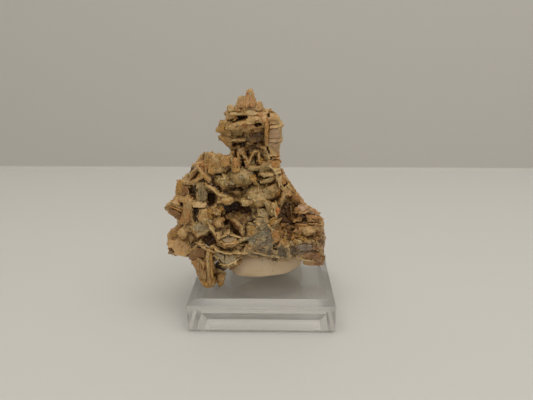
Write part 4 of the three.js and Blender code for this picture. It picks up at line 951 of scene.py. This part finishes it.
class Paint:
    """Short ways to add and join the nodes of one material."""

    def __init__(self, name):
        self.material = bpy.data.materials.new(name)
        self.material.use_nodes = True
        self.nodes = self.material.node_tree.nodes
        self.links = self.material.node_tree.links
        self.shader = self.nodes["Principled BSDF"]
        self.place = self.nodes.new("ShaderNodeTexCoord").outputs["Object"]

    def feed(self, value, socket):
        """Join a socket to an input, or set the input to a plain value."""
        if isinstance(value, bpy.types.NodeSocket):
            self.links.new(value, socket)
        else:
            socket.default_value = value

    def finish(self, **values):
        """Set or join the shader's own inputs; a name's underscores stand for spaces."""
        for name, value in values.items():
            self.feed(value, self.shader.inputs[name.replace("_", " ")])

    def noise(self, size, detail=4, rough=0.55):
        """Cloudy noise whose lumps are about this many mm across."""
        node = self.nodes.new("ShaderNodeTexNoise")
        self.links.new(self.place, node.inputs["Vector"])
        node.inputs["Scale"].default_value = 1 / (size * MM)
        node.inputs["Detail"].default_value = detail
        node.inputs["Roughness"].default_value = rough
        return node.outputs["Fac"]

    def packed(self, size, what):
        """Packed grains about this many mm across: Distance from each one's middle, or Color,
        one random value for each."""
        node = self.nodes.new("ShaderNodeTexVoronoi")
        self.links.new(self.place, node.inputs["Vector"])
        node.inputs["Scale"].default_value = 1 / (size * MM)
        return node.outputs[what]

    def attribute(self, name, what="Fac"):
        """What the stone's points have recorded under a name."""
        node = self.nodes.new("ShaderNodeAttribute")
        node.attribute_name = name
        return node.outputs[what]

    def spread(self, value, low, high, to_low=0.0, to_high=1.0):
        """A value stretched from one range to another, and kept inside it."""
        node = self.nodes.new("ShaderNodeMapRange")
        self.feed(value, node.inputs["Value"])
        for name, number in (("From Min", low), ("From Max", high),
                             ("To Min", to_low), ("To Max", to_high)):
            node.inputs[name].default_value = number
        return node.outputs["Result"]

    def both(self, kind, first, second):
        """Two values combined, by a Math node of this kind."""
        node = self.nodes.new("ShaderNodeMath")
        node.operation = kind
        self.feed(first, node.inputs[0])
        self.feed(second, node.inputs[1])
        return node.outputs["Value"]

    def mix(self, share, first, second, kind="MIX"):
        """The first colour with so much of the second laid over it."""
        node = self.nodes.new("ShaderNodeMix")
        node.data_type = "RGBA"
        node.blend_type = kind
        self.feed(share, node.inputs["Factor"])
        self.feed(first, node.inputs[6])
        self.feed(second, node.inputs[7])
        return node.outputs[2]

    def laid_on(self, colour, layer, share, strength):
        """A colour with a layer over it where share says, and no thicker than strength."""
        return self.mix(self.both("MULTIPLY", share, strength), colour, layer)

    def zone(self, centre, radii, soft, ragged):
        """1 inside an egg-shaped zone of the stone and 0 outside it, with a ragged edge."""
        node = self.nodes.new("ShaderNodeMapping")
        node.vector_type = "TEXTURE"
        node.inputs["Location"].default_value = Vector(centre) * MM
        node.inputs["Scale"].default_value = Vector(radii) * MM
        self.links.new(self.place, node.inputs["Vector"])
        length = self.nodes.new("ShaderNodeVectorMath")
        length.operation = "LENGTH"
        self.links.new(node.outputs["Vector"], length.inputs[0])
        wander = self.spread(ragged, 0.3, 0.7, -0.45, 0.45)
        reach = self.both("ADD", length.outputs["Value"], wander)
        return self.spread(reach, 1 + soft, 1 - soft)

    def bump(self, height, strength, reach, under=None):
        """Fine relief by shading alone, its reach in mm, over any relief under it."""
        node = self.nodes.new("ShaderNodeBump")
        node.inputs["Strength"].default_value = strength
        node.inputs["Distance"].default_value = reach * MM
        self.links.new(height, node.inputs["Height"])
        if under:
            self.links.new(under, node.inputs["Normal"])
        return node.outputs["Normal"]


# The shades of the face's pieces. Pale on rims and ledge tops is partly their own colour and partly a
# painted highlight; brown on the pieces sunk deep in the hollows and bronze on the recess faces are
# partly the stone's colour and partly painted shade.
TINTS = {
    "pale": rgb(208, 176, 122), "tan": rgb(186, 146, 92), "ochre": rgb(184, 138, 66),
    "amber": rgb(178, 122, 52), "orange": rgb(184, 134, 78), "pink": rgb(186, 152, 118),
    "olive": rgb(158, 136, 88), "grey": rgb(152, 138, 106), "slate": rgb(134, 120, 104),
    "brown": rgb(136, 92, 52), "moss": rgb(122, 108, 76), "resin": rgb(186, 108, 24),
    "bronze": rgb(134, 90, 44), "shell": rgb(168, 126, 62)}

# The stone's colours by place: centre and half sizes in mm, how soft the edge
# is, the colour, and how strong it is in the middle.
STONE_ZONES = (
    ((-6, -13, 44), (9, 9, 6), 0.35, rgb(164, 142, 92), 0.8),          # under the neck
    ((0, -13, 37), (8, 9, 8), 0.35, rgb(160, 132, 78), 0.7),           # above the grey face
    ((-11, -15, 20), (4, 5, 3), 0.3, rgb(162, 142, 98), 0.8),          # folded rim, lower left
    ((-18, -13, 30), (3, 6, 2.6), 0.3, rgb(166, 148, 106), 0.7),       # left of the cavity
    ((-18.5, -13, 40), (2, 6, 3.4), 0.3, rgb(150, 134, 88), 0.8),      # left flank
    ((13, -6, 33), (10, 16, 8), 0.5, rgb(172, 116, 58), 0.7),          # right shoulder
    ((18, -6, 22), (4.5, 12, 6), 0.5, rgb(114, 86, 58), 1.0),          # lower right corner
    ((-6, -8, 56), (7, 6, 4), 0.4, rgb(140, 108, 58), 0.6),            # lower part of the head
    ((0.5, -13, 26.5), (5.0, 7, 5.2), 0.2, rgb(122, 116, 94), 0.9),    # grey broken face
    ((-1, -13, 31), (3, 7, 3.4), 0.2, rgb(140, 126, 92), 0.9),         # its upper end
    ((5, -13, 21.6), (11, 7, 3.0), 0.3, rgb(98, 86, 62), 1.0),         # along the lower edge
    ((13.6, -11, 22.9), (3.4, 5, 1.3), 0.3, rgb(126, 112, 92), 0.85),  # slate patch, right
)


def stone_material():
    """Bladed quartz: tan to ochre, coloured by place, rusty and painted with shade in its holes and
    dips, pale on its rims from wear and a painted highlight.
    """
    paint = Paint("bladed quartz")
    wide, middling, fine = paint.noise(9, 3), paint.noise(2.6, 4), paint.noise(0.7, 4, 0.7)
    coarse_cell, tiny_cell = paint.packed(0.95, "Color"), paint.packed(0.42, "Color")
    tan, sand, ochre = rgb(176, 138, 82), rgb(192, 160, 106), rgb(170, 116, 52)
    iron, dark_iron = rgb(176, 116, 48), rgb(112, 76, 38)
    rust_shade, deep_rust_shade = rgb(106, 62, 24), rgb(70, 38, 15)
    crease_shade, worn_and_lit = rgb(88, 56, 26), rgb(206, 172, 116)

    colour = paint.mix(paint.spread(wide, 0.4, 0.62), tan, ochre)
    colour = paint.mix(paint.spread(middling, 0.45, 0.7), colour, sand)
    for centre, radii, soft, shade, strength in STONE_ZONES:
        share = paint.zone(centre, radii, soft, middling)
        colour = paint.laid_on(colour, shade, share, strength)
    colour = paint.laid_on(colour, paint.attribute("tint", "Color"), paint.attribute("tinted"), 0.8)

    # grain by grain, some stained with iron
    colour = paint.mix(paint.spread(coarse_cell, 0.62, 0.8, 0.0, 0.25), colour, iron)
    colour = paint.mix(paint.spread(tiny_cell, 0.34, 0.2, 0.0, 0.18), colour, dark_iron)

    # rust and painted shade in the holes, painted shade in the dips, and rims paler from wear and a
    # painted highlight
    # the more closed in a point lies, the darker it is painted: partly rust, partly painted shade
    hole_rust_and_shade = paint.mix(paint.spread(middling, 0.35, 0.65), rust_shade, deep_rust_shade)
    colour = paint.laid_on(colour, hole_rust_and_shade, paint.spread(paint.attribute("open"), 0.42, 0.08), 0.93)
    # painted shade where a point sits below its neighbours
    colour = paint.laid_on(colour, crease_shade, paint.spread(paint.attribute("ridge"), -0.04, -0.22), 0.45)
    # rims paler where a point stands proud: partly wear, partly a painted highlight
    colour = paint.laid_on(colour, worn_and_lit, paint.spread(paint.attribute("ridge"), 0.04, 0.22), 0.45)
    speck = paint.both("MULTIPLY", paint.spread(fine, 0.3, 0.72, 0.76, 1.02),
                       paint.spread(tiny_cell, 0.25, 0.75, 0.93, 1.05))
    colour = paint.mix(1.0, colour, speck, "MULTIPLY")

    dull = paint.spread(fine, 0.35, 0.65, 0.28, 0.6)
    wet = paint.spread(paint.attribute("wet"), 0.0, 1.0, 1.0, 0.12)
    relief = paint.bump(paint.packed(0.5, "Distance"), 0.3, 0.12)
    relief = paint.bump(fine, 0.28, 0.2, relief)
    paint.finish(Base_Color=colour, Roughness=paint.both("MULTIPLY", dull, wet), Normal=relief,
                 Subsurface_Weight=0.42, Subsurface_Radius=(1.0, 0.6, 0.3),
                 Subsurface_Scale=0.9 * MM)
    return paint.material


def putty_material():
    """Beige putty, a little smudged, with a dark speck here and there."""
    paint = Paint("putty")
    cream, beige, grit = rgb(240, 214, 176), rgb(228, 198, 156), rgb(92, 66, 44)
    smudge = paint.noise(6, 3)
    colour = paint.mix(paint.spread(smudge, 0.35, 0.7), cream, beige)
    specks = paint.spread(paint.packed(2.4, "Distance"), 0.09, 0.06, 0.0, 0.7)
    colour = paint.mix(specks, colour, grit)
    paint.finish(Base_Color=colour, Roughness=paint.spread(smudge, 0.3, 0.7, 0.5, 0.75),
                 Normal=paint.bump(paint.noise(0.8, 4), 0.25, 0.1))
    return paint.material


def acrylic_material():
    """Clear acrylic: polished on top and in front, satin round its border and at its sides."""
    side, top = stand_high.x, stand_high.z
    paint = Paint("clear acrylic")
    axes = paint.nodes.new("ShaderNodeSeparateXYZ")
    paint.links.new(paint.place, axes.inputs["Vector"])
    across = paint.both("ABSOLUTE", axes.outputs["X"], 0.0)
    sawn = paint.spread(across, side - 0.15 * MM, side - 0.05 * MM, 0.0, 0.3)
    border = paint.spread(axes.outputs["Z"], top - 2.6 * MM, top - 2.4 * MM, 0.0, 0.32)
    below_top = paint.spread(axes.outputs["Z"], top - 0.02 * MM, top - 0.05 * MM)
    satin = paint.both("MAXIMUM", sawn, paint.both("MULTIPLY", border, below_top))
    wiped = paint.spread(paint.noise(14, 3), 0.4, 0.7, 0.01, 0.05)
    paint.finish(Base_Color=(0.99, 0.985, 0.975, 1), IOR=1.49, Transmission_Weight=1.0,
                 Roughness=paint.both("ADD", satin, wiped))
    return paint.material


def plain_material(name, colour, roughness):
    paint = Paint(name)
    paint.finish(Base_Color=colour, Roughness=roughness)
    return paint.material


# ---------------------------------------------------------------- the studio
# Sizes and places here are in metres, angles in degrees.

CAMERA_DOWN = 16.18
CAMERA_LEFT = 0.97
WALL_FAR = 0.205
WALL_HIGH = 0.7
FLOOR_NEAR = -0.9
FLOOR_HALF = 1.2
BEND = 0.0015
BEND_STEPS = 8
GAP = 0.05 * MM  # the floor lies just under the stand


def camera():
    lens = bpy.data.cameras.new("camera")
    lens.lens = 35
    lens.sensor_width = 36
    lens.clip_start = 0.005
    holder = bpy.data.objects.new("camera", lens)
    holder.location = CAMERA_PLACE
    holder.rotation_euler = (math.radians(90 - CAMERA_DOWN), 0, math.radians(CAMERA_LEFT))
    bpy.context.collection.objects.link(holder)
    bpy.context.scene.camera = holder


def floor_and_wall():
    """A pale floor that turns up into a darker wall."""
    profile = [(FLOOR_NEAR, -GAP), (WALL_FAR - BEND, -GAP)]
    for step in range(1, BEND_STEPS + 1):
        angle = math.radians(90 * step / BEND_STEPS)
        profile.append((WALL_FAR - BEND + BEND * math.sin(angle), BEND - BEND * math.cos(angle) - GAP))
    profile.append((WALL_FAR, WALL_HIGH))
    vertices = [(x, y, z) for y, z in profile for x in (-FLOOR_HALF, FLOOR_HALF)]
    faces = [(2 * i, 2 * i + 1, 2 * i + 3, 2 * i + 2) for i in range(len(profile) - 1)]
    mesh = bpy.data.meshes.new("floor")
    mesh.from_pydata(vertices, [], faces)
    floor = bpy.data.objects.new("floor", mesh)
    bpy.context.collection.objects.link(floor)
    mesh.materials.append(plain_material("floor", (0.562, 0.55, 0.522, 1), 0.6))
    mesh.materials.append(plain_material("wall", (0.515, 0.494, 0.452, 1), 0.7))
    for polygon in mesh.polygons[1:]:
        polygon.material_index = 1


def soft_light(name, wide, high, power, colour, place, towards):
    """A soft rectangular light at a place, facing a direction."""
    light = bpy.data.lights.new(name, "AREA")
    light.shape = "RECTANGLE"
    light.size = wide
    light.size_y = high
    light.energy = power
    light.color = colour
    lamp = bpy.data.objects.new(name, light)
    lamp.location = place
    lamp.rotation_euler = Vector(towards).to_track_quat("-Z", "Y").to_euler()
    bpy.context.collection.objects.link(lamp)


def room_light(grey, strength):
    """The even light that the rest of the room gives."""
    world = bpy.data.worlds.new("room")
    world.use_nodes = True
    background = world.node_tree.nodes["Background"]
    background.inputs["Color"].default_value = (grey, grey, grey, 1)
    background.inputs["Strength"].default_value = strength
    bpy.context.scene.world = world


def studio():
    camera()
    floor_and_wall()
    soft_light("ceiling", 1.3, 0.75, 6.0, (1.0, 0.965, 0.9), (0.1, -0.2, 0.75), (0, 0, -1))
    soft_light("window", 1.0, 0.7, 3.4, (1.0, 0.985, 0.95), (0.15, -0.95, 0.5), (-0.15, 0.95, -0.45))
    room_light(0.78, 0.21)
    bpy.context.scene.view_settings.view_transform = "Standard"


studio()
dress_node("acrylic_base", acrylic_material())
putty = pressed_putty()
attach(putty, "root")
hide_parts("mounting_putty")
stone = quartz_stone()
for shape in CHIPS + BLOCKS + SLABS:
    bpy.data.objects.remove(shape)
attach(stone, "root")
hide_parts("pseudomorph")
